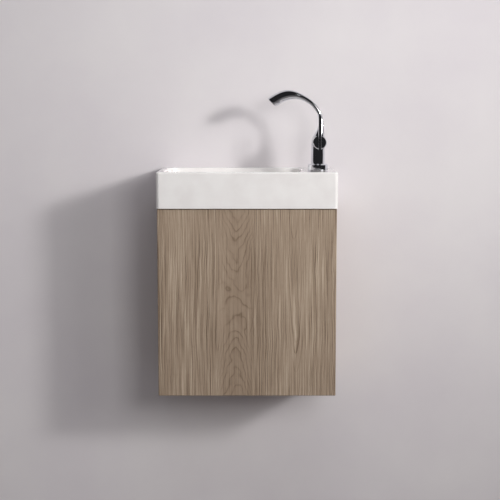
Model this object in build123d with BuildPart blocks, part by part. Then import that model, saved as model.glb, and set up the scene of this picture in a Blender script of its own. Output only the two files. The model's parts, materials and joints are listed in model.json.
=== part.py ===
"""Wall-hung cloakroom vanity unit: block basin, swan-neck side-lever tap, slab-door cabinet.

Millimetres. X runs to the right seen from the front, Y runs into the wall, Z runs up.
The wall is the plane Y = 0, and Z = 0 is the height of the wall screws.
"""

from build123d import *
from math import cos, pi, radians, sin, sqrt
import os

os.makedirs("parts", exist_ok=True)

# Overall driving sizes
BASIN_WIDTH = 400.0
BASIN_DEPTH = 220.0
BASIN_HEIGHT = 80.0
CABINET_WIDTH = 398.0
CABINET_HEIGHT = 420.0
SCREW_DROP = 48.0
SCREW_INSET = 23.0

# Basin
BASIN_CORNER = 8.0
BASIN_EDGE_ROUND = 3.5
RIM_WIDTH = 14.0
LEDGE_WIDTH = 78.0
LEDGE_THICKNESS = 14.0
BOWL_DEPTH = 54.0
BOWL_TAPER = 8.0
BOWL_CORNER = 30.0
BOWL_FLOOR_ROUND = 18.0
BOWL_RIM_ROUND = 3.0
BOWL_WALL = 10.0
DISH_RADIUS = 64.0
DISH_DEPTH = 3.0
FOOT_WIDTH = 12.0
FOOT_HEIGHT = 10.0
POCKET_CORNER = 6.0
WASTE_HOLE_RADIUS = 23.0
WASTE_SEAT_RADIUS = 33.0
WASTE_SEAT_DEPTH = 2.5
TAP_HOLE_RADIUS = 17.5

# Boards, door and the gaps about them
BOARD = 16.0
DOOR_THICKNESS = 16.0
DOOR_SETBACK = 4.0
DOOR_GAP = 3.0
DOOR_REVEAL = 1.0
DOOR_TOP_GAP = 2.0
DOOR_ARRIS = 1.0
BOARD_ARRIS = 0.6
BACK_RAIL_HEIGHT = 60.0
BACK_RAIL_DROP = 8.0
BACK_RAIL_RECESS = 4.0
LOWER_RAIL_HEIGHT = 60.0
FRONT_RAIL_HEIGHT = 50.0
HOOK_NOTCH_WIDTH = 47.0
HOOK_NOTCH_DEPTH = 24.0

# Knock-down fittings
CAM_RADIUS = 7.5
CAM_HEIGHT = 12.5
CAM_SETBACK = 24.0
BOLT_RADIUS = 2.9
BOLT_HEAD_RADIUS = 3.4
BOLT_HEAD_LENGTH = 3.0
BOLT_IN_PANEL = 11.0
DOWEL_RADIUS = 4.0
DOWEL_LENGTH = 24.0
FITTING_CLEARANCE = 0.1

# Concealed single-pivot hinges, with distances from the left panel's front inner corner
HINGE_END_DISTANCE = 90.0
CUP_RADIUS = 17.5
CUP_DEPTH = 12.5
CUP_WALL = 1.0
CUP_EDGE_DISTANCE = 3.0
CUP_FLANGE = 1.0
CUP_SCREW_SPACING = 48.0
CUP_SCREW_OFFSET = 9.5
CUP_FLANGE_WIDTH = 12.0
PIVOT_FROM_PANEL = 8.0
PIVOT_DEPTH = 8.5
HINGE_PIN_RADIUS = 1.4
HINGE_PIN_CLEARANCE = 0.05
HINGE_EYE_RADIUS = 2.4
ARM_WIDTH = 6.5
ARM_TAIL_WIDTH = 14.0
ARM_THICKNESS = 2.5
ARM_LEG_RISE = 1.2
ARM_LENGTH = 62.0
HINGE_PLATE_THICKNESS = 2.6
HINGE_PLATE_LENGTH = 40.0
HINGE_PLATE_HEIGHT = 38.0
HINGE_PLATE_FRONT = 20.0
PIN_EAR_THICKNESS = 2.0
PIN_EAR_GAP = 0.6
ARM_SCREW_RADIUS = 2.0
ARM_SCREW_HEAD = 2.0

# Wood screws
SCREW_HEAD_RADIUS = 3.5
SCREW_HEAD_HEIGHT = 1.5
SCREW_SHANK_RADIUS = 1.75
SCREW_SHANK_LENGTH = 11.0

# Push latch on the right panel, its striker and the door bumpers
LATCH_DROP = 141.0
LATCH_WIDTH = 15.0
LATCH_HEIGHT = 15.0
LATCH_LENGTH = 62.0
LATCH_BASE_THICKNESS = 2.0
LATCH_BASE_HEIGHT = 36.0
LATCH_BASE_LENGTH = 26.0
LATCH_SETBACK = 1.0
PLUNGER_RADIUS = 4.5
PLUNGER_LENGTH = 44.0
PLUNGER_TIP_GAP = 0.3
PLUNGER_CLEARANCE = 0.08
PLUNGER_BORE_RADIUS = 3.2
PLUNGER_BORE_DEPTH = 24.0
SPRING_WIRE_RADIUS = 0.35
SPRING_COIL_RADIUS = 2.5
SPRING_TURNS = 9
STRIKER_WIDTH = 16.0
STRIKER_HEIGHT = 34.0
STRIKER_THICKNESS = 1.4
STRIKER_SCREW_PITCH = 22.0
BUMPER_RADIUS = 4.0
BUMPER_GAP = 0.3

# Cabinet hangers and the wall plates that they hook on
HANGER_WIDTH = 17.0
HANGER_LENGTH = 54.0
HANGER_HEIGHT = 60.0
HANGER_DROP = 3.0
HANGER_WALL = 2.0
HANGER_BACK_GAP = 1.0
HOOK_THICKNESS = 2.5
HOOK_HEIGHT = 12.0
HOOK_INSET = 8.5
HOOK_TAB_WIDTH = 16.0
HOOK_TAB_DROP = 8.0
HOOK_FLANGE_WIDTH = 12.0
HOOK_REACH = 50.0
HANGER_SCREW_RADIUS = 3.5
HANGER_SCREW_SPACING = 18.0
PLATE_THICKNESS = 2.0
PLATE_WIDTH = 44.0
PLATE_BELOW = 18.0
PLATE_LIP_START = 18.0
PLATE_LIP_HEIGHT = 12.0
PLATE_LIP_STAND = 4.0
PLATE_SCREW_PITCH = 20.0
WALL_SCREW_HOLE_RADIUS = 3.25
HOOK_CLEARANCE = 0.3

# Waste, with heights from its seat in the bowl
WASTE_SEAL = 1.5
WASTE_FLANGE_RADIUS = 31.5
WASTE_FLANGE = 3.0
WASTE_TUBE_RADIUS = 20.8
WASTE_BORE_RADIUS = 16.5
WASTE_LENGTH = 58.0
WASTE_CONE_RADIUS = 21.5
NUT_CLEARANCE = 0.1
BOTTOM_SEAL = 4.0
BOTTOM_SEAL_RADIUS = 29.0
BACKNUT_HEIGHT = 9.0
BACKNUT_FLATS = 54.0
PLUG_RADIUS = 30.0
PLUG_THICKNESS = 2.2
PLUG_DOME = 2.2
PLUG_SEAL = 0.6
PLUG_SEAL_GAP = 0.3
PLUG_STEM_RADIUS = 4.0
PLUG_STEM_LENGTH = 36.0
PLUG_STEM_CLEARANCE = 0.06
GUIDE_TOP = -14.0
GUIDE_HEIGHT = 9.0
GUIDE_HUB_RADIUS = 7.0
GUIDE_RING = 2.0
GUIDE_SPOKE = 3.0
GUIDE_SPOKES = 3

# Bottle trap, below the waste
TRAP_WASHER = 3.0
TRAP_COLLAR = 4.0
TRAP_COLLAR_RADIUS = 20.5
TRAP_PIPE_RADIUS = 16.0
TRAP_PIPE_LENGTH = 21.0
TRAP_HEAD_RADIUS = 30.0
TRAP_HEAD_HEIGHT = 44.0
TRAP_HEAD_WALL = 3.0
TRAP_DIP_RADIUS = 14.0
TRAP_DIP_WALL = 2.0
TRAP_DIP_BELOW = 42.0
TRAP_CUP_RADIUS = 29.0
TRAP_CUP_WALL = 3.0
TRAP_CUP_HEIGHT = 58.0
TRAP_CUP_NECK = 10.0
TRAP_CUP_CLEARANCE = 0.2
TRAP_CUP_SEAL = 1.5
TRAP_CUP_RIBS = 12
RIB_RADIUS = 1.5
TRAP_NUT_RADIUS = 25.5
TRAP_NUT_HEIGHT = 17.0
TRAP_NUT_LIP = 2.0
TRAP_NUT_RIBS = 10
OUTLET_RADIUS = 19.0
OUTLET_REACH = 66.0
OUTLET_SOCKET_RADIUS = 16.2
OUTLET_SOCKET_LENGTH = 24.0
OUTLET_STEP = 0.9
OUTLET_PASSAGE_RADIUS = 11.0
OUTLET_NUT_RADIUS = 23.5
OUTLET_NUT_LENGTH = 16.0

# Tap, with heights above the basin's ledge
TAP_TURN = 3.0
TAP_FROM_END = 39.0
TAP_FROM_WALL = 110.0
TAP_FLANGE_RADIUS = 22.8
TAP_FLANGE_HEIGHT = 14.0
TAP_FLANGE_BEVEL = 2.5
TAP_FLANGE_FLOOR = 3.0
TAP_FLANGE_OPENING = 13.5
TAP_SEAL_INNER = 18.0
TAP_SEAL_OUTER = 20.8
TAP_SEAL_HEIGHT = 1.1
TAP_BODY_RADIUS = 15.3
TAP_SHOULDER = 64.0
TAP_SEAT_CLEARANCE = 0.1
SPIGOT_RADIUS = 7.0
SPIGOT_LENGTH = 2.6
SPIGOT_BORE_RADIUS = 3.5
WATERWAY_RADIUS = 4.0
INLET_RADIUS = 4.5
INLET_DEPTH = 12.0
INLET_X = 5.6
INLET_Y = -4.5
INLET_PASSAGE_RADIUS = 2.5
STUD_Y = 9.0
STUD_RADIUS = 4.0
STUD_DEPTH = 14.0
STUD_BELOW = 50.0
FIXING_RADIUS = 23.0
FIXING_WASHER = 3.0
FIXING_PLATE = 2.0
FIXING_SLOT_RADIUS = 12.2
FIXING_SLOT_Y = -9.0
STUD_NUT_FLATS = 13.0
STUD_NUT_HEIGHT = 6.5

# The tap's shoulder and spout: distance from the tap's axis, height and radius of each section
SHOULDER_SECTIONS = ((0.0, 64.0, 15.3), (0.7, 71.0, 14.3), (2.4, 78.1, 12.3))
SPOUT_SECTIONS = (
    (2.4, 78.1, 12.3),
    (5.1, 86.3, 9.4),
    (6.8, 98.5, 6.9),
    (6.5, 111.7, 5.5),
    (2.8, 126.5, 4.9),
    (-6.0, 141.4, 4.8),
    (-18.3, 153.2, 5.0),
    (-33.1, 162.0, 5.9),
    (-48.4, 167.6, 8.3),
    (-63.1, 169.3, 10.9),
    (-78.9, 166.5, 12.2),
    (-93.1, 159.7, 12.6),
    (-105.1, 152.6, 12.7),
)
SPOUT_WALL = 2.0
SPOUT_TIP_DIRECTION = 226.0
AERATOR_RADIUS = 11.2
AERATOR_LENGTH = 8.0
AERATOR_WALL = 1.4
AERATOR_PROUD = 0.8
AERATOR_CLEARANCE = 0.05
AERATOR_HOLE_RADIUS = 0.9
AERATOR_HOLE_PITCH = 2.9

# Side lever and its cartridge, with distances out from the tap's axis
LEVER_HEIGHT = 63.0
BOSS_END = 22.5
CARTRIDGE_RADIUS = 11.6
CARTRIDGE_BACK = -2.8
CARTRIDGE_FRONT = 16.6
CARTRIDGE_CLEARANCE = 0.1
PORT_RADIUS = 2.0
PORT_CIRCLE = 5.5
LEVER_PIVOT = 22.0
DOME_RADIUS = 14.4
DOME_WALL = 1.5
DOME_TOP = 29.0
NUT_SKIRT_RADIUS = 12.95
NUT_SKIRT_INNER = 11.0
CARRIER_RADIUS = 8.25
CARRIER_CLEARANCE = 0.05
CARRIER_BACK = 9.2
CARRIER_FRONT = 25.0
CARRIER_SLOT_HEIGHT = 10.4
CARRIER_SLOT_DEPTH = 10.5
STEM_SIDE = 5.4
STEM_CLEARANCE = 0.1
STEM_BACK = 17.0
STEM_FRONT = 37.0
STEM_PIN_RADIUS = 1.25
STEM_PIN_LENGTH = 15.0
LEVER_RADIUS = 15.3
LEVER_BACK = 28.0
LEVER_FRONT = 42.0
LEVER_BEVEL = 1.5
LEVER_CAVITY_TOP = 33.0
LEVER_DOME_CLEARANCE = 0.5
ROD_RADIUS = 3.7
ROD_BELOW = 15.6
ROD_ABOVE = 64.5
ROD_CLEARANCE = 0.05
GRUB_RADIUS = 1.5
GRUB_LENGTH = 7.0
GRUB_PLACE = 35.2
LEVER_CAP_LENGTH = 1.6

# Levels and places worked out from the sizes above
CABINET_TOP = SCREW_DROP
CABINET_BOTTOM = CABINET_TOP - CABINET_HEIGHT
BASIN_BOTTOM = CABINET_TOP
BASIN_TOP = BASIN_BOTTOM + BASIN_HEIGHT
BASIN_Y = -BASIN_DEPTH / 2
DOOR_FRONT = -(BASIN_DEPTH - DOOR_SETBACK)
DOOR_BACK = DOOR_FRONT + DOOR_THICKNESS
PANEL_FRONT = DOOR_BACK + DOOR_GAP
PANEL_INNER = CABINET_WIDTH / 2 - BOARD
SCREW_X = PANEL_INNER - SCREW_INSET
BOWL_WIDTH = BASIN_WIDTH - RIM_WIDTH - LEDGE_WIDTH
BOWL_LENGTH = BASIN_DEPTH - 2 * RIM_WIDTH
BOWL_X = (RIM_WIDTH - LEDGE_WIDTH) / 2
WASTE_SEAT = BASIN_TOP - BOWL_DEPTH - DISH_DEPTH - WASTE_SEAT_DEPTH
FLOOR_UNDERSIDE = BASIN_BOTTOM + FOOT_HEIGHT
TAP_X = BASIN_WIDTH / 2 - TAP_FROM_END
LOW = (Align.CENTER, Align.CENTER, Align.MIN)

DRAIN = Plane(origin=(BOWL_X, BASIN_Y, WASTE_SEAT))
TAP = Plane(
    origin=(TAP_X, -TAP_FROM_WALL, BASIN_TOP),
    x_dir=(cos(radians(TAP_TURN)), sin(radians(TAP_TURN)), 0),
    z_dir=(0, 0, 1),
)
TAP_SECTION = Plane(origin=TAP.origin, x_dir=TAP.x_dir, z_dir=-TAP.y_dir)
LEVER_AXIS = Plane(origin=TAP.from_local_coords((0, 0, LEVER_HEIGHT)), x_dir=TAP.x_dir, z_dir=-TAP.y_dir)
ROD_AXIS = Plane(origin=LEVER_AXIS.from_local_coords((0, 0, LEVER_FRONT)), x_dir=TAP.x_dir, z_dir=(0, 0, 1))


def keep(builder, name):
    """Labels a finished piece and writes it."""
    builder.part.label = name
    export_step(builder.part, f"parts/{name}.step")


def radial_plane(plane):
    """The plane through an axis, with its x as the radius and its y as the height."""
    return Plane(origin=plane.origin, x_dir=plane.x_dir, z_dir=-plane.y_dir)


def spin(plane, *profile, mode=Mode.ADD):
    """Adds the solid turned about a plane's normal from (radius, height) corners."""
    with BuildSketch(radial_plane(plane)) as outline:
        with BuildLine():
            Polyline(*profile, close=True)
        make_face()
    revolve(outline.sketch, Axis(plane.origin, plane.z_dir), mode=mode)


def turned(name, plane, *profile):
    """Writes a piece that is only turned."""
    with BuildPart() as piece:
        spin(plane, *profile)
    keep(piece, name)


def ring(inner, outer, bottom, top):
    """The profile of a plain ring."""
    return ((inner, bottom), (outer, bottom), (outer, top), (inner, top))


def board(low, high):
    """Adds a board between two corners."""
    with Locations(low):
        Box(*(b - a for a, b in zip(low, high)), align=(Align.MIN, Align.MIN, Align.MIN))


def bore(plane, x, y, start, end, radius, mode=Mode.SUBTRACT):
    """Cuts, or adds, a round length along a plane's normal."""
    with BuildSketch(plane.offset(start)) as section:
        with Locations((x, y)):
            Circle(radius)
    extrude(section.sketch, amount=end - start, mode=mode)


def wood_screw(plane, x, y, seat):
    """Adds a pan-head wood screw whose head stands on the seat and whose shank goes below it."""
    bore(plane, x, y, seat, seat + SCREW_HEAD_HEIGHT, SCREW_HEAD_RADIUS, Mode.ADD)
    bore(plane, x, y, seat - SCREW_SHANK_LENGTH, seat, SCREW_SHANK_RADIUS, Mode.ADD)


# Basin: a block with a tapered bowl at the left, a tap ledge at the right and a hollow underside
with BuildPart() as basin:
    with BuildSketch(Plane.XY.offset(BASIN_BOTTOM)):
        with Locations((0, BASIN_Y)):
            RectangleRounded(BASIN_WIDTH, BASIN_DEPTH, BASIN_CORNER)
    extrude(amount=BASIN_HEIGHT)
    fillet(basin.faces().sort_by(Axis.Z)[-1].edges(), BASIN_EDGE_ROUND)
    with BuildSketch(Plane.XY.offset(BASIN_TOP)):
        with Locations((BOWL_X, BASIN_Y)):
            RectangleRounded(BOWL_WIDTH, BOWL_LENGTH, BOWL_CORNER)
    extrude(amount=-BOWL_DEPTH, taper=BOWL_TAPER, mode=Mode.SUBTRACT)
    bowl_floor = basin.faces().filter_by(Axis.Z).group_by(Axis.Z)[-2][0]
    fillet(bowl_floor.edges(), BOWL_FLOOR_ROUND)
    bowl_rim = basin.faces().sort_by(Axis.Z)[-1].inner_wires()[0]
    fillet(bowl_rim.edges(), BOWL_RIM_ROUND)
    spin(
        DRAIN.offset(WASTE_SEAT_DEPTH),
        (0, 0),
        (WASTE_SEAT_RADIUS, 0),
        (DISH_RADIUS, DISH_DEPTH),
        (0, DISH_DEPTH),
        mode=Mode.SUBTRACT,
    )
    bore(DRAIN, 0, 0, 0, WASTE_SEAT_DEPTH, WASTE_SEAT_RADIUS)
    bore(DRAIN, 0, 0, BASIN_BOTTOM - WASTE_SEAT, 0, WASTE_HOLE_RADIUS)
    with BuildSketch(Plane.XY.offset(BASIN_BOTTOM)):
        with Locations((0, BASIN_Y)):
            RectangleRounded(BASIN_WIDTH - 2 * FOOT_WIDTH, BASIN_DEPTH - 2 * FOOT_WIDTH, POCKET_CORNER)
    extrude(amount=FOOT_HEIGHT, mode=Mode.SUBTRACT)
    POCKET_LEFT = BOWL_X + BOWL_WIDTH / 2 + BOWL_WALL
    POCKET_RIGHT = BASIN_WIDTH / 2 - FOOT_WIDTH
    with BuildSketch(Plane.XY.offset(BASIN_BOTTOM)):
        with Locations(((POCKET_LEFT + POCKET_RIGHT) / 2, BASIN_Y)):
            RectangleRounded(POCKET_RIGHT - POCKET_LEFT, BASIN_DEPTH - 2 * FOOT_WIDTH, POCKET_CORNER)
    extrude(amount=BASIN_HEIGHT - LEDGE_THICKNESS, mode=Mode.SUBTRACT)
    bore(TAP, 0, 0, -LEDGE_THICKNESS, 0, TAP_HOLE_RADIUS)
keep(basin, "basin")

# Waste: a flanged tube through the bowl's floor, sealed above and below and held by a nut
UNDER = FLOOR_UNDERSIDE - WASTE_SEAT
FLANGE_TOP = WASTE_SEAL + WASTE_FLANGE
with BuildPart() as waste_body:
    spin(
        DRAIN,
        (WASTE_BORE_RADIUS, -WASTE_LENGTH),
        (WASTE_TUBE_RADIUS, -WASTE_LENGTH),
        (WASTE_TUBE_RADIUS, WASTE_SEAL),
        (WASTE_FLANGE_RADIUS, WASTE_SEAL),
        (WASTE_FLANGE_RADIUS, FLANGE_TOP - 1),
        (WASTE_FLANGE_RADIUS - 2, FLANGE_TOP),
        (WASTE_CONE_RADIUS, FLANGE_TOP),
        (WASTE_BORE_RADIUS, FLANGE_TOP - WASTE_CONE_RADIUS + WASTE_BORE_RADIUS),
    )
keep(waste_body, "waste_body")
turned("waste_top_seal", DRAIN, *ring(WASTE_HOLE_RADIUS, WASTE_FLANGE_RADIUS - 0.5, 0, WASTE_SEAL))
turned(
    "waste_bottom_seal",
    DRAIN,
    *ring(WASTE_TUBE_RADIUS + NUT_CLEARANCE, BOTTOM_SEAL_RADIUS, UNDER - BOTTOM_SEAL, UNDER),
)

with BuildPart() as waste_backnut:
    with BuildSketch(DRAIN.offset(UNDER - BOTTOM_SEAL)) as hexagon:
        RegularPolygon(BACKNUT_FLATS / 2, 6, major_radius=False)
        Circle(WASTE_TUBE_RADIUS + NUT_CLEARANCE, mode=Mode.SUBTRACT)
    extrude(amount=-BACKNUT_HEIGHT)
keep(waste_backnut, "waste_backnut")

# The plug is a domed cap on a stem that slides in the guide's hub
PLUG_UNDERSIDE = FLANGE_TOP + PLUG_SEAL_GAP + PLUG_SEAL
with BuildPart() as waste_plug:
    with BuildSketch(radial_plane(DRAIN)) as cap_profile:
        with BuildLine():
            dome_edge = (PLUG_RADIUS, PLUG_UNDERSIDE + PLUG_THICKNESS)
            dome_top = (0, PLUG_UNDERSIDE + PLUG_THICKNESS + PLUG_DOME)
            Polyline(dome_top, (0, PLUG_UNDERSIDE), (PLUG_RADIUS, PLUG_UNDERSIDE), dome_edge)
            TangentArc(dome_top, dome_edge, tangent=(1, 0))
        make_face()
    revolve(cap_profile.sketch, Axis(DRAIN.origin, DRAIN.z_dir))
    bore(DRAIN, 0, 0, PLUG_UNDERSIDE - PLUG_STEM_LENGTH, PLUG_UNDERSIDE, PLUG_STEM_RADIUS, Mode.ADD)
keep(waste_plug, "waste_plug")
turned(
    "waste_plug_seal",
    DRAIN,
    *ring(WASTE_CONE_RADIUS + 0.6, PLUG_RADIUS - 1.5, PLUG_UNDERSIDE - PLUG_SEAL, PLUG_UNDERSIDE),
)

with BuildPart() as waste_guide:
    with BuildSketch(DRAIN.offset(GUIDE_TOP - GUIDE_HEIGHT)):
        Circle(WASTE_BORE_RADIUS - NUT_CLEARANCE)
        Circle(WASTE_BORE_RADIUS - GUIDE_RING, mode=Mode.SUBTRACT)
        Circle(GUIDE_HUB_RADIUS)
        with PolarLocations((GUIDE_HUB_RADIUS + WASTE_BORE_RADIUS - GUIDE_RING) / 2, GUIDE_SPOKES):
            Rectangle(WASTE_BORE_RADIUS - GUIDE_HUB_RADIUS, GUIDE_SPOKE)
        Circle(PLUG_STEM_RADIUS + PLUG_STEM_CLEARANCE, mode=Mode.SUBTRACT)
    extrude(amount=GUIDE_HEIGHT)
keep(waste_guide, "waste_guide")

# Bottle trap: washer and nut under the waste, head with dip tube and outlet, screw-on cup
WASHER_BOTTOM = -WASTE_LENGTH - TRAP_WASHER
COLLAR_BOTTOM = WASHER_BOTTOM - TRAP_COLLAR
HEAD_TOP = COLLAR_BOTTOM - TRAP_PIPE_LENGTH
HEAD_BOTTOM = HEAD_TOP - TRAP_HEAD_HEIGHT
DIP_BORE = TRAP_DIP_RADIUS - TRAP_DIP_WALL
HEAD_INNER = TRAP_HEAD_RADIUS - TRAP_HEAD_WALL
CUP_TOP = HEAD_BOTTOM - TRAP_CUP_SEAL
CUP_NECK_RADIUS = HEAD_INNER - TRAP_CUP_CLEARANCE
CUP_INNER = TRAP_CUP_RADIUS - 1.5 * TRAP_CUP_WALL
OUTLET = Plane(
    origin=DRAIN.from_local_coords((0, 0, HEAD_TOP - TRAP_HEAD_HEIGHT / 2)), x_dir=(1, 0, 0), z_dir=(0, 1, 0)
)
turned("trap_inlet_washer", DRAIN, *ring(DIP_BORE + 2, TRAP_COLLAR_RADIUS, WASHER_BOTTOM, -WASTE_LENGTH))

with BuildPart() as trap_body:
    spin(
        DRAIN,
        (0, COLLAR_BOTTOM - 1),
        (0, WASHER_BOTTOM),
        (TRAP_COLLAR_RADIUS, WASHER_BOTTOM),
        (TRAP_COLLAR_RADIUS, COLLAR_BOTTOM),
        (TRAP_PIPE_RADIUS, COLLAR_BOTTOM),
        (TRAP_PIPE_RADIUS, HEAD_TOP),
        (TRAP_HEAD_RADIUS, HEAD_TOP),
        (TRAP_HEAD_RADIUS, HEAD_BOTTOM),
        (0, HEAD_BOTTOM),
    )
    bore(OUTLET, 0, 0, 0, OUTLET_REACH, OUTLET_RADIUS, Mode.ADD)
    spin(DRAIN, *ring(0, HEAD_INNER, HEAD_BOTTOM, HEAD_TOP - TRAP_HEAD_WALL), mode=Mode.SUBTRACT)
    bore(OUTLET, 0, 0, HEAD_INNER - TRAP_HEAD_WALL, OUTLET_REACH, OUTLET_PASSAGE_RADIUS)
    bore(OUTLET, 0, 0, OUTLET_REACH - OUTLET_SOCKET_LENGTH, OUTLET_REACH, OUTLET_SOCKET_RADIUS)
    bore(DRAIN, 0, 0, HEAD_BOTTOM - TRAP_DIP_BELOW, HEAD_TOP - 1, TRAP_DIP_RADIUS, Mode.ADD)
    bore(DRAIN, 0, 0, HEAD_BOTTOM - TRAP_DIP_BELOW, WASHER_BOTTOM, DIP_BORE)
keep(trap_body, "trap_body")

with BuildPart() as trap_cup:
    spin(
        DRAIN,
        (0, CUP_TOP - TRAP_CUP_HEIGHT),
        (TRAP_CUP_RADIUS - 3, CUP_TOP - TRAP_CUP_HEIGHT),
        (TRAP_CUP_RADIUS, CUP_TOP - TRAP_CUP_HEIGHT + 3),
        (TRAP_CUP_RADIUS, CUP_TOP),
        (CUP_NECK_RADIUS, CUP_TOP),
        (CUP_NECK_RADIUS, CUP_TOP + TRAP_CUP_NECK),
        (CUP_INNER, CUP_TOP + TRAP_CUP_NECK),
        (CUP_INNER, CUP_TOP - TRAP_CUP_HEIGHT + TRAP_CUP_WALL),
        (0, CUP_TOP - TRAP_CUP_HEIGHT + TRAP_CUP_WALL),
    )
    with BuildSketch(DRAIN.offset(CUP_TOP - TRAP_CUP_HEIGHT + 4)):
        with PolarLocations(TRAP_CUP_RADIUS, TRAP_CUP_RIBS):
            Circle(RIB_RADIUS)
    extrude(amount=TRAP_CUP_HEIGHT / 2)
keep(trap_cup, "trap_cup")
turned("trap_cup_seal", DRAIN, *ring(CUP_NECK_RADIUS + 0.2, TRAP_CUP_RADIUS, CUP_TOP, HEAD_BOTTOM))


def ribbed_nut(name, plane, lip, length, outer, thread, lip_bore):
    """A trap's union nut: a threaded cup with a lip at the height named, opening the other way."""
    with BuildPart() as nut:
        rise = TRAP_NUT_LIP if length > 0 else -TRAP_NUT_LIP
        spin(
            plane,
            (lip_bore, lip),
            (outer, lip),
            (outer, lip + length),
            (thread, lip + length),
            (thread, lip + rise),
            (lip_bore, lip + rise),
        )
        with BuildSketch(plane.offset(lip)) as ribs:
            with PolarLocations(outer, TRAP_NUT_RIBS):
                Circle(RIB_RADIUS)
        extrude(ribs.sketch, amount=length)
    keep(nut, name)


ribbed_nut(
    "trap_inlet_nut",
    DRAIN,
    COLLAR_BOTTOM - TRAP_NUT_LIP,
    TRAP_NUT_HEIGHT,
    TRAP_NUT_RADIUS,
    WASTE_TUBE_RADIUS + NUT_CLEARANCE,
    TRAP_PIPE_RADIUS + NUT_CLEARANCE,
)
turned(
    "trap_outlet_washer",
    OUTLET,
    *ring(OUTLET_SOCKET_RADIUS + OUTLET_STEP, OUTLET_RADIUS, OUTLET_REACH, OUTLET_REACH + TRAP_WASHER),
)
ribbed_nut(
    "trap_outlet_nut",
    OUTLET,
    OUTLET_REACH + TRAP_WASHER + TRAP_NUT_LIP,
    -OUTLET_NUT_LENGTH,
    OUTLET_NUT_RADIUS,
    OUTLET_RADIUS + NUT_CLEARANCE,
    OUTLET_SOCKET_RADIUS + OUTLET_STEP,
)

# Tap base: a bevelled flange that the body stands in, with a seal in a groove beneath it
turned(
    "tap_flange",
    TAP,
    (TAP_FLANGE_OPENING, 0),
    (TAP_SEAL_INNER - TAP_SEAT_CLEARANCE, 0),
    (TAP_SEAL_INNER - TAP_SEAT_CLEARANCE, TAP_SEAL_HEIGHT + TAP_SEAT_CLEARANCE),
    (TAP_SEAL_OUTER + TAP_SEAT_CLEARANCE, TAP_SEAL_HEIGHT + TAP_SEAT_CLEARANCE),
    (TAP_SEAL_OUTER + TAP_SEAT_CLEARANCE, 0),
    (TAP_FLANGE_RADIUS, 0),
    (TAP_FLANGE_RADIUS, TAP_FLANGE_HEIGHT - TAP_FLANGE_BEVEL),
    (TAP_FLANGE_RADIUS - TAP_FLANGE_BEVEL, TAP_FLANGE_HEIGHT),
    (TAP_BODY_RADIUS + TAP_SEAT_CLEARANCE, TAP_FLANGE_HEIGHT),
    (TAP_BODY_RADIUS + TAP_SEAT_CLEARANCE, TAP_FLANGE_FLOOR),
    (TAP_FLANGE_OPENING, TAP_FLANGE_FLOOR),
)
turned("tap_base_seal", TAP, *ring(TAP_SEAL_INNER, TAP_SEAL_OUTER, 0, TAP_SEAL_HEIGHT))

# Tap body: a cylinder with a leaning shoulder, a side boss for the cartridge and its waterways
SEAM_X, SEAM_HEIGHT, SEAM_RADIUS = SPOUT_SECTIONS[0]
CARTRIDGE_BORE = CARTRIDGE_RADIUS + CARTRIDGE_CLEARANCE
with BuildPart() as tap_body:
    bore(TAP, 0, 0, TAP_FLANGE_FLOOR, TAP_SHOULDER, TAP_BODY_RADIUS, Mode.ADD)
    for across, height, radius in SHOULDER_SECTIONS:
        with BuildSketch(TAP.offset(height)):
            with Locations((across, 0)):
                Circle(radius)
    loft()
    bore(LEVER_AXIS, 0, 0, 0, BOSS_END, LEVER_RADIUS, Mode.ADD)
    bore(LEVER_AXIS, 0, 0, CARTRIDGE_BACK - CARTRIDGE_CLEARANCE, BOSS_END, CARTRIDGE_BORE)
    bore(LEVER_AXIS, 0, 0, CARTRIDGE_FRONT, BOSS_END, NUT_SKIRT_RADIUS + TAP_SEAT_CLEARANCE)
    bore(TAP, SEAM_X, 0, LEVER_HEIGHT, SEAM_HEIGHT, WATERWAY_RADIUS)
    bore(TAP, SEAM_X, 0, SEAM_HEIGHT - SPIGOT_LENGTH - 0.2, SEAM_HEIGHT, SPIGOT_RADIUS + TAP_SEAT_CLEARANCE)
    for side in (-1, 1):
        bore(TAP, side * INLET_X, INLET_Y, TAP_FLANGE_FLOOR, TAP_FLANGE_FLOOR + INLET_DEPTH, INLET_RADIUS)
        bore(TAP, side * INLET_X, INLET_Y, TAP_FLANGE_FLOOR, LEVER_HEIGHT - 8, INLET_PASSAGE_RADIUS)
    bore(TAP, 0, STUD_Y, TAP_FLANGE_FLOOR, TAP_FLANGE_FLOOR + STUD_DEPTH, STUD_RADIUS + TAP_SEAT_CLEARANCE / 2)
keep(tap_body, "tap_body")


def spout_frames():
    """One plane for each spout section, square to the line through the sections beside it."""
    frames = []
    last = len(SPOUT_SECTIONS) - 1
    for index, (across, height, radius) in enumerate(SPOUT_SECTIONS):
        before = SPOUT_SECTIONS[max(index - 1, 0)]
        after = SPOUT_SECTIONS[min(index + 1, last)]
        heading = (after[0] - before[0], after[1] - before[1])
        if index == 0:
            heading = (0, 1)
        if index == last:
            heading = (cos(radians(SPOUT_TIP_DIRECTION)), sin(radians(SPOUT_TIP_DIRECTION)))
        along = TAP.x_dir * heading[0] + TAP.z_dir * heading[1]
        frames.append(Plane(origin=TAP.from_local_coords((across, 0, height)), x_dir=TAP.y_dir, z_dir=along))
    return frames


SPOUT_FRAMES = spout_frames()
SPOUT_TIP = SPOUT_FRAMES[-1]


def loft_along_spout(radii):
    """Lofts a circle of each radius through the spout's sections."""
    sections = []
    for frame, radius in zip(SPOUT_FRAMES, radii):
        with BuildSketch(frame) as section:
            Circle(radius)
        sections.append(section.sketch)
    loft(sections)


OUTER_RADII = [radius for _, _, radius in SPOUT_SECTIONS]
with BuildPart() as waterway:
    loft_along_spout([min(radius - SPOUT_WALL, WATERWAY_RADIUS) for radius in OUTER_RADII])

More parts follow.
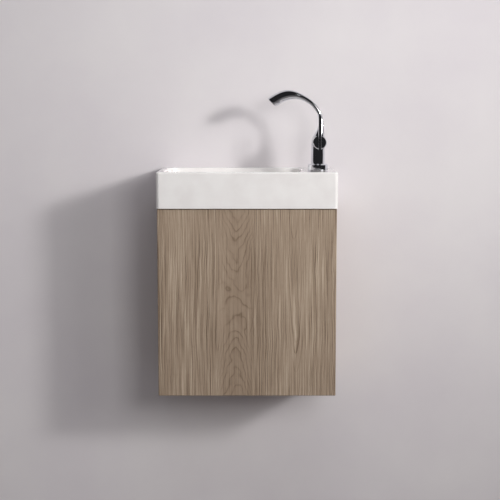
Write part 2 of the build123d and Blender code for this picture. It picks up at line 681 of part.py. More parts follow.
with BuildPart() as tap_spout:
    loft_along_spout(OUTER_RADII)
    bore(TAP, SEAM_X, 0, SEAM_HEIGHT - SPIGOT_LENGTH, SEAM_HEIGHT + 1, SPIGOT_RADIUS, Mode.ADD)
    add(waterway.part, mode=Mode.SUBTRACT)
    bore(TAP, SEAM_X, 0, SEAM_HEIGHT - SPIGOT_LENGTH, SEAM_HEIGHT + 1, SPIGOT_BORE_RADIUS)
    bore(SPOUT_TIP, 0, 0, -AERATOR_LENGTH, 0, AERATOR_RADIUS + AERATOR_CLEARANCE)
keep(tap_spout, "tap_spout")

# Aerator: a threaded ring in the spout's mouth, and the perforated insert that it holds
AERATOR_BORE = AERATOR_RADIUS - AERATOR_WALL
turned(
    "aerator_housing",
    SPOUT_TIP,
    (AERATOR_BORE, 0.3 - AERATOR_LENGTH),
    (AERATOR_RADIUS, 0.3 - AERATOR_LENGTH),
    (AERATOR_RADIUS, AERATOR_PROUD),
    (AERATOR_BORE - 1, AERATOR_PROUD),
    (AERATOR_BORE - 1, AERATOR_PROUD - 1),
    (AERATOR_BORE, AERATOR_PROUD - 1),
)
with BuildPart() as aerator_insert:
    with BuildSketch(SPOUT_TIP.offset(1 - AERATOR_LENGTH)):
        Circle(AERATOR_BORE - AERATOR_CLEARANCE)
        with HexLocations(AERATOR_HOLE_PITCH / 2, 5, 5):
            Circle(AERATOR_HOLE_RADIUS, mode=Mode.SUBTRACT)
    extrude(amount=AERATOR_LENGTH + AERATOR_PROUD - 2.1)
keep(aerator_insert, "aerator_insert")

# Tap fixing under the ledge: stud, rubber and metal horseshoes, and a nut
STUD_TOP = TAP_FLANGE_FLOOR + STUD_DEPTH - 1
with BuildPart() as tap_stud:
    bore(TAP, 0, STUD_Y, -STUD_BELOW, STUD_TOP, STUD_RADIUS, Mode.ADD)
    chamfer(tap_stud.faces().sort_by(Axis.Z)[0].edges(), STUD_RADIUS / 5)
keep(tap_stud, "tap_stud")


def horseshoe(name, top, thickness):
    """A round plate with a slot that the tap's inlets pass, and a hole for the stud."""
    with BuildPart() as plate:
        with BuildSketch(TAP.offset(top - thickness)):
            Circle(FIXING_RADIUS)
            with Locations((0, FIXING_SLOT_Y)):
                Circle(FIXING_SLOT_RADIUS, mode=Mode.SUBTRACT)
            with Locations((0, FIXING_SLOT_Y - FIXING_RADIUS / 2)):
                Rectangle(2 * FIXING_SLOT_RADIUS, FIXING_RADIUS, mode=Mode.SUBTRACT)
            with Locations((0, STUD_Y)):
                Circle(STUD_RADIUS + TAP_SEAT_CLEARANCE, mode=Mode.SUBTRACT)
        extrude(amount=thickness)
    keep(plate, name)


PLATE_TOP = -LEDGE_THICKNESS - FIXING_WASHER
NUT_TOP = PLATE_TOP - FIXING_PLATE
horseshoe("tap_fixing_washer", -LEDGE_THICKNESS, FIXING_WASHER)
horseshoe("tap_fixing_plate", PLATE_TOP, FIXING_PLATE)
with BuildPart() as tap_stud_nut:
    with BuildSketch(TAP.offset(NUT_TOP - STUD_NUT_HEIGHT)):
        with Locations((0, STUD_Y)):
            RegularPolygon(STUD_NUT_FLATS / 2, 6, major_radius=False)
            Circle(STUD_RADIUS + TAP_SEAT_CLEARANCE / 2, mode=Mode.SUBTRACT)
    extrude(amount=STUD_NUT_HEIGHT)
keep(tap_stud_nut, "tap_stud_nut")

# Cartridge: fixed housing, domed nut that holds it, and a carrier that turns in it
with BuildPart() as cartridge_housing:
    bore(LEVER_AXIS, 0, 0, CARTRIDGE_BACK, CARTRIDGE_FRONT, CARTRIDGE_RADIUS, Mode.ADD)
    bore(LEVER_AXIS, 0, 0, CARRIER_BACK - 0.2, CARTRIDGE_FRONT, CARRIER_RADIUS + CARRIER_CLEARANCE)
    with BuildSketch(LEVER_AXIS.offset(CARTRIDGE_BACK)) as ports:
        with PolarLocations(PORT_CIRCLE, 3):
            Circle(PORT_RADIUS)
    extrude(ports.sketch, amount=CARRIER_BACK - CARTRIDGE_BACK, mode=Mode.SUBTRACT)
keep(cartridge_housing, "cartridge_housing")


def sphere_at(radius, height):
    """The (radius, height) point of a sphere about the lever's pivot, at a height."""
    return (sqrt(radius**2 - (height - LEVER_PIVOT) ** 2), height)


def sphere_arc(radius, start, end):
    """An arc of that sphere between two heights, for a profile."""
    ThreePointArc(sphere_at(radius, start), sphere_at(radius, (start + end) / 2), sphere_at(radius, end))


DOME_INNER = DOME_RADIUS - DOME_WALL
DOME_INNER_START = LEVER_PIVOT + sqrt(DOME_INNER**2 - NUT_SKIRT_INNER**2)
SKIRT_BOTTOM = CARTRIDGE_FRONT + TAP_SEAT_CLEARANCE
with BuildPart() as cartridge_nut:
    with BuildSketch(radial_plane(LEVER_AXIS)) as dome_profile:
        with BuildLine():
            sphere_arc(DOME_RADIUS, BOSS_END, DOME_TOP)
            Line(sphere_at(DOME_RADIUS, DOME_TOP), sphere_at(DOME_INNER, DOME_TOP))
            sphere_arc(DOME_INNER, DOME_TOP, DOME_INNER_START)
            Polyline(
                sphere_at(DOME_INNER, DOME_INNER_START),
                (NUT_SKIRT_INNER, SKIRT_BOTTOM),
                (NUT_SKIRT_RADIUS, SKIRT_BOTTOM),
                (NUT_SKIRT_RADIUS, BOSS_END),
                sphere_at(DOME_RADIUS, BOSS_END),
            )
        make_face()
    revolve(dome_profile.sketch, Axis(LEVER_AXIS.origin, LEVER_AXIS.z_dir))
keep(cartridge_nut, "cartridge_nut")

PIVOT_AXIS = Plane(
    origin=LEVER_AXIS.from_local_coords((0, 0, LEVER_PIVOT)), x_dir=LEVER_AXIS.y_dir, z_dir=TAP.x_dir
)
with BuildPart() as cartridge_carrier:
    bore(LEVER_AXIS, 0, 0, CARRIER_BACK, CARRIER_FRONT, CARRIER_RADIUS, Mode.ADD)
    with BuildSketch(LEVER_AXIS.offset(CARRIER_FRONT - CARRIER_SLOT_DEPTH)) as slot:
        Rectangle(STEM_SIDE + STEM_CLEARANCE, CARRIER_SLOT_HEIGHT)
    extrude(slot.sketch, amount=CARRIER_SLOT_DEPTH, mode=Mode.SUBTRACT)
    bore(PIVOT_AXIS, 0, 0, -CARRIER_RADIUS, CARRIER_RADIUS, STEM_PIN_RADIUS)
keep(cartridge_carrier, "cartridge_carrier")

with BuildPart() as lever_pivot_pin:
    bore(PIVOT_AXIS, 0, 0, -STEM_PIN_LENGTH / 2, STEM_PIN_LENGTH / 2, STEM_PIN_RADIUS, Mode.ADD)
keep(lever_pivot_pin, "lever_pivot_pin")

with BuildPart() as lever_stem:
    with BuildSketch(LEVER_AXIS.offset(STEM_BACK)) as square:
        Rectangle(STEM_SIDE, STEM_SIDE)
    extrude(square.sketch, amount=STEM_FRONT - STEM_BACK)
    bore(PIVOT_AXIS, 0, 0, -STEM_SIDE, STEM_SIDE, STEM_PIN_RADIUS + HINGE_PIN_CLEARANCE)
keep(lever_stem, "lever_stem")

# Lever: a disc whose hollow back clears the dome, with a slim rod let into its face
CAVITY_RADIUS = DOME_RADIUS + LEVER_DOME_CLEARANCE
GRUB_AXIS = Plane(
    origin=LEVER_AXIS.from_local_coords((0, 0, GRUB_PLACE)), x_dir=TAP.x_dir, z_dir=-LEVER_AXIS.y_dir
)
with BuildPart() as lever:
    with BuildSketch(radial_plane(LEVER_AXIS)) as lever_profile:
        with BuildLine():
            sphere_arc(CAVITY_RADIUS, LEVER_BACK, LEVER_CAVITY_TOP)
            Polyline(
                sphere_at(CAVITY_RADIUS, LEVER_CAVITY_TOP),
                (0, LEVER_CAVITY_TOP),
                (0, LEVER_FRONT),
                (LEVER_RADIUS - LEVER_BEVEL, LEVER_FRONT),
                (LEVER_RADIUS, LEVER_FRONT - LEVER_BEVEL),
                (LEVER_RADIUS, LEVER_BACK),
                sphere_at(CAVITY_RADIUS, LEVER_BACK),
            )
        make_face()
    revolve(lever_profile.sketch, Axis(LEVER_AXIS.origin, LEVER_AXIS.z_dir))
    with BuildSketch(LEVER_AXIS.offset(LEVER_CAVITY_TOP)) as socket:
        Rectangle(STEM_SIDE + STEM_CLEARANCE, STEM_SIDE + STEM_CLEARANCE)
    extrude(socket.sketch, amount=STEM_FRONT + STEM_CLEARANCE - LEVER_CAVITY_TOP, mode=Mode.SUBTRACT)
    bore(ROD_AXIS, 0, 0, -LEVER_RADIUS, LEVER_RADIUS, ROD_RADIUS + ROD_CLEARANCE)
    bore(GRUB_AXIS, 0, 0, 0, LEVER_RADIUS, GRUB_RADIUS + ROD_CLEARANCE)
keep(lever, "lever")

with BuildPart() as lever_rod:
    with BuildSketch(radial_plane(ROD_AXIS)) as rod_profile:
        with BuildLine():
            shoulder = (ROD_RADIUS, ROD_ABOVE - ROD_RADIUS)
            crown = (ROD_RADIUS * cos(pi / 4), ROD_ABOVE - ROD_RADIUS + ROD_RADIUS * sin(pi / 4))
            Polyline((0, ROD_ABOVE), (0, -ROD_BELOW), (ROD_RADIUS, -ROD_BELOW), shoulder)
            ThreePointArc(shoulder, crown, (0, ROD_ABOVE))
        make_face()
    revolve(rod_profile.sketch, Axis(ROD_AXIS.origin, ROD_AXIS.z_dir))
keep(lever_rod, "lever_rod")

GRUB_START = STEM_SIDE / 2 + STEM_CLEARANCE
with BuildPart() as lever_grub_screw:
    bore(GRUB_AXIS, 0, 0, GRUB_START, GRUB_START + GRUB_LENGTH, GRUB_RADIUS, Mode.ADD)
keep(lever_grub_screw, "lever_grub_screw")
CAP_START = LEVER_RADIUS - LEVER_CAP_LENGTH - 0.3
with BuildPart() as lever_cap:
    bore(GRUB_AXIS, 0, 0, CAP_START, CAP_START + LEVER_CAP_LENGTH, GRUB_RADIUS, Mode.ADD)
keep(lever_cap, "lever_cap")

# Joints of the boards: each has a cam with its bolt, and a dowel beside it.
# A joint gives the board's middle height, its cam's place, its dowel's place, and whether its
# cams go in from below or from behind.
BOTTOM_MIDDLE = CABINET_BOTTOM + BOARD / 2
FRONT_RAIL_Y = PANEL_FRONT + BOARD / 2
BACK_RAIL_Y = -BACK_RAIL_RECESS - BOARD / 2
LOWER_RAIL_Y = -BOARD / 2
BACK_RAIL_TOP = CABINET_TOP - BACK_RAIL_DROP
BACK_RAIL_BOTTOM = BACK_RAIL_TOP - BACK_RAIL_HEIGHT
FRONT_RAIL_BOTTOM = CABINET_TOP - FRONT_RAIL_HEIGHT
LOWER_RAIL_TOP = CABINET_BOTTOM + BOARD + LOWER_RAIL_HEIGHT
BOTTOM_CAMS = (PANEL_FRONT * 0.8, PANEL_FRONT * 0.3)
BOTTOM_DOWELS = (PANEL_FRONT * 0.55,)
RAIL_CAM_INSET = 14.0
RAIL_DOWEL_INSET = 12.0


def facing(side, x):
    """The plane square to X at a distance from the middle, facing out to the side named."""
    return Plane(origin=(side * x, 0, 0), x_dir=(0, side, 0), z_dir=(side, 0, 0))


def cam_places():
    """The (y, z) of each cam bolt and whether its cam goes in from below, on either side."""
    places = [(y, BOTTOM_MIDDLE, True) for y in BOTTOM_CAMS]
    places.append((FRONT_RAIL_Y, FRONT_RAIL_BOTTOM + RAIL_CAM_INSET, False))
    places.append((BACK_RAIL_Y, BACK_RAIL_BOTTOM + RAIL_CAM_INSET - 3, False))
    places.append((LOWER_RAIL_Y, LOWER_RAIL_TOP - RAIL_CAM_INSET, False))
    return places


def dowel_places():
    """The (y, z) of each dowel, on either side."""
    places = [(y, BOTTOM_MIDDLE) for y in BOTTOM_DOWELS]
    places.append((FRONT_RAIL_Y, CABINET_TOP - RAIL_DOWEL_INSET))
    places.append((BACK_RAIL_Y, BACK_RAIL_BOTTOM + 2.2 * RAIL_CAM_INSET - 3))
    places.append((LOWER_RAIL_Y, CABINET_BOTTOM + BOARD + RAIL_DOWEL_INSET))
    return places


def cam_plane(side, y, z, from_below):
    """The plane on a cam's outer face, with its normal going into the board."""
    x = side * (PANEL_INNER - CAM_SETBACK)
    if from_below:
        return Plane(origin=(x, y, z - BOARD / 2), x_dir=(1, 0, 0), z_dir=(0, 0, 1))
    return Plane(origin=(x, y + BOARD / 2, z), x_dir=(1, 0, 0), z_dir=(0, -1, 0))


def cut_end_holes(board_places, dowels):
    """Cuts a board's holes for its cams, bolts and dowels, at both ends."""
    for side in (-1, 1):
        end = facing(side, PANEL_INNER)
        for y, z, from_below in board_places:
            bore(cam_plane(side, y, z, from_below), 0, 0, 0, CAM_HEIGHT, CAM_RADIUS + FITTING_CLEARANCE)
            bore(end, side * y, z, -CAM_SETBACK, 0, BOLT_HEAD_RADIUS + FITTING_CLEARANCE)
        for y, z in dowels:
            bore(end, side * y, z, -DOWEL_LENGTH / 2, 0, DOWEL_RADIUS)


def side_panel(name, side):
    """A side panel with blind holes for bolts and dowels in its inner face."""
    with BuildPart() as panel:
        inner, outer = sorted((side * PANEL_INNER, side * (PANEL_INNER + BOARD)))
        board((inner, PANEL_FRONT, CABINET_BOTTOM), (outer, 0, CABINET_TOP))
        chamfer(panel.edges().filter_by(Axis.Z).group_by(Axis.Y)[0], BOARD_ARRIS)
        end = facing(side, PANEL_INNER)
        for y, z, _ in cam_places():
            bore(end, side * y, z, 0, BOLT_IN_PANEL, BOLT_RADIUS)
        for y, z in dowel_places():
            bore(end, side * y, z, 0, DOWEL_LENGTH / 2, DOWEL_RADIUS)
        if side < 0:
            for z in HINGE_HEIGHTS:
                for offset in (-1, 1):
                    bore(
                        facing(1, -PANEL_INNER),
                        PANEL_FRONT + HINGE_SCREW_BACK,
                        z + offset * HINGE_SCREW_PITCH / 2,
                        -SCREW_SHANK_LENGTH + HINGE_PLATE_THICKNESS,
                        0,
                        SCREW_SHANK_RADIUS,
                    )
        else:
            for offset in (-1, 1):
                bore(
                    facing(-1, -PANEL_INNER),
                    -LATCH_SCREW_Y,
                    LATCH_Z + offset * LATCH_SCREW_PITCH / 2,
                    -SCREW_SHANK_LENGTH + LATCH_BASE_THICKNESS,
                    0,
                    SCREW_SHANK_RADIUS,
                )
    keep(panel, name)


DOOR_BOTTOM = CABINET_BOTTOM
DOOR_TOP = CABINET_TOP - DOOR_TOP_GAP
DOOR_EDGE = CABINET_WIDTH / 2 - DOOR_REVEAL
HINGE_HEIGHTS = (DOOR_BOTTOM + HINGE_END_DISTANCE, DOOR_TOP - HINGE_END_DISTANCE)
HINGE_SCREW_BACK = HINGE_PLATE_FRONT + HINGE_PLATE_LENGTH / 2
HINGE_SCREW_PITCH = 24.0
LATCH_Z = DOOR_TOP - LATCH_DROP
LATCH_FRONT = PANEL_FRONT + LATCH_SETBACK
LATCH_SCREW_PITCH = 26.0
LATCH_SCREW_Y = LATCH_FRONT + LATCH_BASE_LENGTH / 2
LATCH_X = PANEL_INNER - LATCH_WIDTH / 2 - 1
side_panel("side_panel_left", -1)
side_panel("side_panel_right", 1)

with BuildPart() as bottom_panel:
    board((-PANEL_INNER, PANEL_FRONT, CABINET_BOTTOM), (PANEL_INNER, 0, CABINET_BOTTOM + BOARD))
    cut_end_holes(cam_places()[:2], dowel_places()[:1])
keep(bottom_panel, "bottom_panel")

with BuildPart() as front_rail:
    board((-PANEL_INNER, PANEL_FRONT, FRONT_RAIL_BOTTOM), (PANEL_INNER, PANEL_FRONT + BOARD, CABINET_TOP))
    cut_end_holes(cam_places()[2:3], dowel_places()[1:2])
keep(front_rail, "front_rail")

with BuildPart() as upper_back_rail:
    board(
        (-PANEL_INNER, -BACK_RAIL_RECESS - BOARD, BACK_RAIL_BOTTOM),
        (PANEL_INNER, -BACK_RAIL_RECESS, BACK_RAIL_TOP),
    )
    cut_end_holes(cam_places()[3:4], dowel_places()[2:3])
    for side in (-1, 1):
        with Locations((side * (PANEL_INNER - HOOK_NOTCH_WIDTH / 2), BACK_RAIL_Y, BACK_RAIL_TOP - HOOK_NOTCH_DEPTH)):
            Box(HOOK_NOTCH_WIDTH, BOARD, HOOK_NOTCH_DEPTH, align=LOW, mode=Mode.SUBTRACT)
keep(upper_back_rail, "upper_back_rail")

with BuildPart() as lower_back_rail:
    board((-PANEL_INNER, -BOARD, CABINET_BOTTOM + BOARD), (PANEL_INNER, 0, LOWER_RAIL_TOP))
    cut_end_holes(cam_places()[4:], dowel_places()[3:])
keep(lower_back_rail, "lower_back_rail")

with BuildPart() as cam_locks:
    for side in (-1, 1):
        for y, z, from_below in cam_places():
            face = cam_plane(side, y, z, from_below)
            with BuildSketch(face) as cam_outline:
                Circle(CAM_RADIUS)
            extrude(cam_outline.sketch, amount=CAM_HEIGHT)
            with BuildSketch(face) as driver_cross:
                Rectangle(CAM_RADIUS, BOLT_RADIUS / 2)
                Rectangle(BOLT_RADIUS / 2, CAM_RADIUS)
            extrude(driver_cross.sketch, amount=BOLT_RADIUS, mode=Mode.SUBTRACT)
            bore(facing(side, PANEL_INNER), side * y, z, -CAM_SETBACK, 0, BOLT_HEAD_RADIUS + FITTING_CLEARANCE)
keep(cam_locks, "cam_locks")

BOLT_END = CAM_SETBACK - 1.5
with BuildPart() as cam_bolts:
    for side in (-1, 1):
        end = facing(side, PANEL_INNER)
        for y, z, _ in cam_places():
            bore(end, side * y, z, -BOLT_END, BOLT_IN_PANEL, BOLT_RADIUS, Mode.ADD)
            bore(end, side * y, z, -BOLT_END, BOLT_HEAD_LENGTH - BOLT_END, BOLT_HEAD_RADIUS, Mode.ADD)
keep(cam_bolts, "cam_bolts")

with BuildPart() as dowels:
    for side in (-1, 1):
        for y, z in dowel_places():
            bore(
                facing(side, PANEL_INNER),
                side * y,
                z,
                -DOWEL_LENGTH / 2,
                DOWEL_LENGTH / 2,
                DOWEL_RADIUS,
                Mode.ADD,
            )
keep(dowels, "dowels")

# Hangers: a hollow box on each side panel, a hook worked by two screws, and the wall plates
HANGER_TOP = CABINET_TOP - HANGER_DROP
HANGER_BOTTOM = HANGER_TOP - HANGER_HEIGHT
HANGER_REAR = -BACK_RAIL_RECESS - BOARD - HANGER_BACK_GAP
HANGER_FACE = HANGER_REAR - HANGER_LENGTH
LIP_TOP = PLATE_LIP_START + PLATE_LIP_HEIGHT
LIP_REAR = -PLATE_LIP_STAND
HOOK_X = PANEL_INNER - HOOK_INSET
HOOK_FRONT = HANGER_REAR - HOOK_REACH / 2
HANGER_MIDDLE = (HANGER_TOP + HANGER_BOTTOM) / 2
HANGER_SCREW_HEIGHTS = (HANGER_MIDDLE - HANGER_SCREW_SPACING / 2, HANGER_MIDDLE + HANGER_SCREW_SPACING / 2)


def mirrored_box(side, inner, outer, front, rear, low, high, mode=Mode.ADD):
    """A box given by its distances from the middle, on the side named."""
    with Locations((side * (inner + outer) / 2, (front + rear) / 2, low)):
        Box(outer - inner, rear - front, high - low, align=LOW, mode=mode)


with BuildPart() as hanger_boxes:
    for side in (-1, 1):
        inner = PANEL_INNER - HANGER_WIDTH
        mirrored_box(side, inner, PANEL_INNER, HANGER_FACE, HANGER_REAR, HANGER_BOTTOM, HANGER_TOP)
        mirrored_box(
            side,
            inner + HANGER_WALL,
            PANEL_INNER - HANGER_WALL,
            HANGER_FACE + HANGER_WALL,
            HANGER_REAR,
            HANGER_BOTTOM + HANGER_WALL,
            HANGER_TOP - HANGER_WALL,
            Mode.SUBTRACT,
        )
        into = Plane(origin=(side * HOOK_X, HANGER_FACE, 0), x_dir=(-1, 0, 0), z_dir=(0, 1, 0))
        for z in HANGER_SCREW_HEIGHTS:
            bore(into, 0, z, 0, HANGER_WALL, HANGER_SCREW_RADIUS + FITTING_CLEARANCE)
keep(hanger_boxes, "hanger_boxes")

with BuildPart() as hanger_hooks:
    for side in (-1, 1):
        half = HOOK_THICKNESS / 2
        hook_top = LIP_TOP + HOOK_HEIGHT
        tab_front = LIP_REAR + HOOK_CLEARANCE
        mirrored_box(side, HOOK_X - half, HOOK_X + half, HOOK_FRONT, tab_front + HOOK_THICKNESS, LIP_TOP, hook_top)
        mirrored_box(
            side, HOOK_X - half, HOOK_X + half, HOOK_FRONT, HANGER_REAR, HANGER_MIDDLE - HOOK_HEIGHT, hook_top
        )
        mirrored_box(
            side,
            HOOK_X + half - HOOK_TAB_WIDTH,
            HOOK_X + half,
            tab_front,
            tab_front + HOOK_THICKNESS,
            LIP_TOP - HOOK_TAB_DROP,
            hook_top,
        )
        mirrored_box(
            side,
            HOOK_X - HOOK_FLANGE_WIDTH / 2,
            HOOK_X + HOOK_FLANGE_WIDTH / 2,
            HOOK_FRONT,
            HOOK_FRONT + HOOK_THICKNESS,
            HANGER_MIDDLE - HOOK_HEIGHT,
            hook_top,
        )
keep(hanger_hooks, "hanger_hooks")

with BuildPart() as hanger_screws:
    for side in (-1, 1):
        into = Plane(origin=(side * HOOK_X, HOOK_FRONT, 0), x_dir=(-1, 0, 0), z_dir=(0, 1, 0))
        length = HOOK_FRONT - HANGER_FACE + 1
        for z in HANGER_SCREW_HEIGHTS:
            bore(into, 0, z, -length, 0, HANGER_SCREW_RADIUS, Mode.ADD)
            with BuildSketch(into.offset(-length)) as driver_slot:
                with Locations((0, z)):
                    Rectangle(HANGER_SCREW_RADIUS, HANGER_SCREW_RADIUS / 3)
                    Rectangle(HANGER_SCREW_RADIUS / 3, HANGER_SCREW_RADIUS)
            extrude(driver_slot.sketch, amount=HANGER_SCREW_RADIUS / 2, mode=Mode.SUBTRACT)
keep(hanger_screws, "hanger_screws")

with BuildPart() as wall_plates:
    for side in (-1, 1):
        inner = SCREW_X - PLATE_WIDTH / 2
        outer = inner + PLATE_WIDTH
        lip_front = LIP_REAR - PLATE_THICKNESS
        mirrored_box(side, inner, outer, -PLATE_THICKNESS, 0, -PLATE_BELOW, PLATE_LIP_START + PLATE_THICKNESS)
        mirrored_box(side, inner, outer, lip_front, 0, PLATE_LIP_START, PLATE_LIP_START + PLATE_THICKNESS)
        mirrored_box(side, inner, outer, lip_front, LIP_REAR, PLATE_LIP_START, LIP_TOP)
        wall = Plane(origin=(side * SCREW_X, 0, 0), x_dir=(1, 0, 0), z_dir=(0, -1, 0))
        for z in (-PLATE_SCREW_PITCH / 2, PLATE_SCREW_PITCH / 2):
            bore(wall, 0, z, 0, PLATE_THICKNESS, WALL_SCREW_HOLE_RADIUS)
keep(wall_plates, "wall_plates")

# Door: one slab with a small arris all round, bored for the hinge cups
CUP_X = -DOOR_EDGE + CUP_EDGE_DISTANCE + CUP_RADIUS
CUP_SCREW_X = CUP_X + CUP_SCREW_OFFSET
DOOR_INSIDE = Plane(origin=(0, DOOR_BACK, 0), x_dir=(-1, 0, 0), z_dir=(0, 1, 0))
BUMPER_INSET = 20.0
BUMPER_X = PANEL_INNER + BOARD / 2


def on_door(x, z):
    """A place on the door's back face, in that face's own coordinates."""
    return (-x, z)


with BuildPart() as door:
    board((-DOOR_EDGE, DOOR_FRONT, DOOR_BOTTOM), (DOOR_EDGE, DOOR_BACK, DOOR_TOP))
    chamfer(door.edges(), DOOR_ARRIS)
    for height in HINGE_HEIGHTS:
        x, z = on_door(CUP_X, height)
        bore(DOOR_INSIDE, x, z, -CUP_DEPTH - FITTING_CLEARANCE, 0, CUP_RADIUS + FITTING_CLEARANCE / 2)
        for offset in (-1, 1):
            x, z = on_door(CUP_SCREW_X, height + offset * CUP_SCREW_SPACING / 2)
            bore(DOOR_INSIDE, x, z, CUP_FLANGE - SCREW_SHANK_LENGTH, 0, SCREW_SHANK_RADIUS)
    for offset in (-1, 1):
        x, z = on_door(LATCH_X, LATCH_Z + offset * STRIKER_SCREW_PITCH / 2)
        bore(DOOR_INSIDE, x, z, STRIKER_THICKNESS - SCREW_SHANK_LENGTH, 0, SCREW_SHANK_RADIUS)
keep(door, "door")

# Hinge: a cup with ears for the pin, and an angled arm that turns about the pin
PIVOT_X = -PANEL_INNER - PIVOT_FROM_PANEL
PIVOT_Y = DOOR_BACK - PIVOT_DEPTH
CUP_FLOOR = DOOR_BACK - CUP_DEPTH + CUP_WALL
ARM_INNER = -PANEL_INNER + HINGE_PLATE_THICKNESS
ARM_OUTER = ARM_INNER + ARM_THICKNESS
LEG_MIDDLE = PIVOT_Y - ARM_LEG_RISE
EAR_HALF = 0.4 * CUP_WALL + HINGE_EYE_RADIUS
EAR_BACK = PIVOT_Y + HINGE_EYE_RADIUS
LEG_FRONT = LEG_MIDDLE - ARM_THICKNESS / 2
LEG_BACK = PANEL_FRONT + ARM_LENGTH
TAIL_FRONT = PANEL_FRONT + HINGE_PLATE_FRONT


with BuildPart() as hinge_cups:
    for height in HINGE_HEIGHTS:
        x, z = on_door(CUP_X, height)
        screw_x, _ = on_door(CUP_SCREW_X, height)
        bore(DOOR_INSIDE, x, z, -CUP_DEPTH, CUP_FLANGE, CUP_RADIUS, Mode.ADD)
        with BuildSketch(DOOR_INSIDE):
            with Locations((screw_x, z)):
                RectangleRounded(CUP_FLANGE_WIDTH, CUP_SCREW_SPACING + CUP_FLANGE_WIDTH, CUP_FLANGE_WIDTH / 3)
        extrude(amount=CUP_FLANGE)
        bore(DOOR_INSIDE, x, z, CUP_WALL - CUP_DEPTH, CUP_FLANGE, CUP_RADIUS - CUP_WALL)
        for side in (-1, 1):
            ear_middle = height + side * (ARM_WIDTH / 2 + PIN_EAR_GAP + PIN_EAR_THICKNESS / 2)
            with Locations((PIVOT_X, (CUP_FLOOR + EAR_BACK) / 2, ear_middle)):
                Box(2 * EAR_HALF, EAR_BACK - CUP_FLOOR, PIN_EAR_THICKNESS)
            screw_z = z + side * CUP_SCREW_SPACING / 2
            bore(DOOR_INSIDE, screw_x, screw_z, 0, CUP_FLANGE, SCREW_SHANK_RADIUS)
        pivot = Plane(origin=(PIVOT_X, PIVOT_Y, height), z_dir=(0, 0, 1))
        bore(pivot, 0, 0, -ARM_WIDTH, ARM_WIDTH, HINGE_PIN_RADIUS)
keep(hinge_cups, "hinge_cups")

# The angled arm has an eye on the pin, a leg across the cup and a leg back over the plate
with BuildPart() as hinge_arms:
    for height in HINGE_HEIGHTS:
        pivot = Plane(origin=(PIVOT_X, PIVOT_Y, height - ARM_WIDTH / 2), z_dir=(0, 0, 1))
        bore(pivot, 0, 0, 0, ARM_WIDTH, HINGE_EYE_RADIUS, Mode.ADD)
        with Locations(((PIVOT_X + ARM_OUTER) / 2, LEG_MIDDLE, height)):
            Box(ARM_OUTER - PIVOT_X, ARM_THICKNESS, ARM_WIDTH)
        with Locations(((ARM_INNER + ARM_OUTER) / 2, (LEG_FRONT + LEG_BACK) / 2, height)):
            Box(ARM_THICKNESS, LEG_BACK - LEG_FRONT, ARM_WIDTH)
        with Locations(((ARM_INNER + ARM_OUTER) / 2, (TAIL_FRONT + LEG_BACK) / 2, height)):
            Box(ARM_THICKNESS, LEG_BACK - TAIL_FRONT, ARM_TAIL_WIDTH)
        bore(pivot, 0, 0, 0, ARM_WIDTH, HINGE_PIN_RADIUS + HINGE_PIN_CLEARANCE)
        screw_hole = ARM_SCREW_RADIUS + FITTING_CLEARANCE
        bore(facing(1, ARM_INNER), PANEL_FRONT + HINGE_SCREW_BACK, height, 0, ARM_THICKNESS, screw_hole)
keep(hinge_arms, "hinge_arms")

with BuildPart() as hinge_pins:
    pin_half = ARM_WIDTH / 2 + PIN_EAR_GAP + PIN_EAR_THICKNESS
    for height in HINGE_HEIGHTS:
        upright = Plane(origin=(PIVOT_X, PIVOT_Y, height), z_dir=(0, 0, 1))
        bore(upright, 0, 0, -pin_half, pin_half, HINGE_PIN_RADIUS, Mode.ADD)
keep(hinge_pins, "hinge_pins")

with BuildPart() as hinge_plates:
    for height in HINGE_HEIGHTS:
        with BuildSketch(facing(1, -PANEL_INNER)) as plate_outline:
            with Locations((PANEL_FRONT + HINGE_SCREW_BACK, height)):
                RectangleRounded(HINGE_PLATE_LENGTH, HINGE_PLATE_HEIGHT, HINGE_PLATE_HEIGHT / 6)
                Circle(ARM_SCREW_RADIUS, mode=Mode.SUBTRACT)
            with Locations(*[
                (PANEL_FRONT + HINGE_SCREW_BACK, height + offset * HINGE_SCREW_PITCH / 2) for offset in (-1, 1)
            ]):
                Circle(SCREW_SHANK_RADIUS, mode=Mode.SUBTRACT)
        extrude(plate_outline.sketch, amount=HINGE_PLATE_THICKNESS)
keep(hinge_plates, "hinge_plates")

with BuildPart() as hinge_arm_screws:
    for height in HINGE_HEIGHTS:
        seat = facing(1, ARM_OUTER)
        y = PANEL_FRONT + HINGE_SCREW_BACK
        bore(seat, y, height, 0, ARM_SCREW_HEAD, 2 * ARM_SCREW_RADIUS, Mode.ADD)
        bore(seat, y, height, -ARM_THICKNESS - HINGE_PLATE_THICKNESS, 0, ARM_SCREW_RADIUS, Mode.ADD)
keep(hinge_arm_screws, "hinge_arm_screws")

with BuildPart() as panel_screws:
    for height in HINGE_HEIGHTS:
        for offset in (-1, 1):
            z = height + offset * HINGE_SCREW_PITCH / 2
            wood_screw(facing(1, -PANEL_INNER), PANEL_FRONT + HINGE_SCREW_BACK, z, HINGE_PLATE_THICKNESS)
    for offset in (-1, 1):
        z = LATCH_Z + offset * LATCH_SCREW_PITCH / 2
        wood_screw(facing(-1, -PANEL_INNER), -LATCH_SCREW_Y, z, LATCH_BASE_THICKNESS)
keep(panel_screws, "panel_screws")

with BuildPart() as door_screws:
    for height in HINGE_HEIGHTS:
        for offset in (-1, 1):
            x, z = on_door(CUP_SCREW_X, height + offset * CUP_SCREW_SPACING / 2)
            wood_screw(DOOR_INSIDE, x, z, CUP_FLANGE)
    for offset in (-1, 1):
        x, z = on_door(LATCH_X, LATCH_Z + offset * STRIKER_SCREW_PITCH / 2)
        wood_screw(DOOR_INSIDE, x, z, STRIKER_THICKNESS)
keep(door_screws, "door_screws")

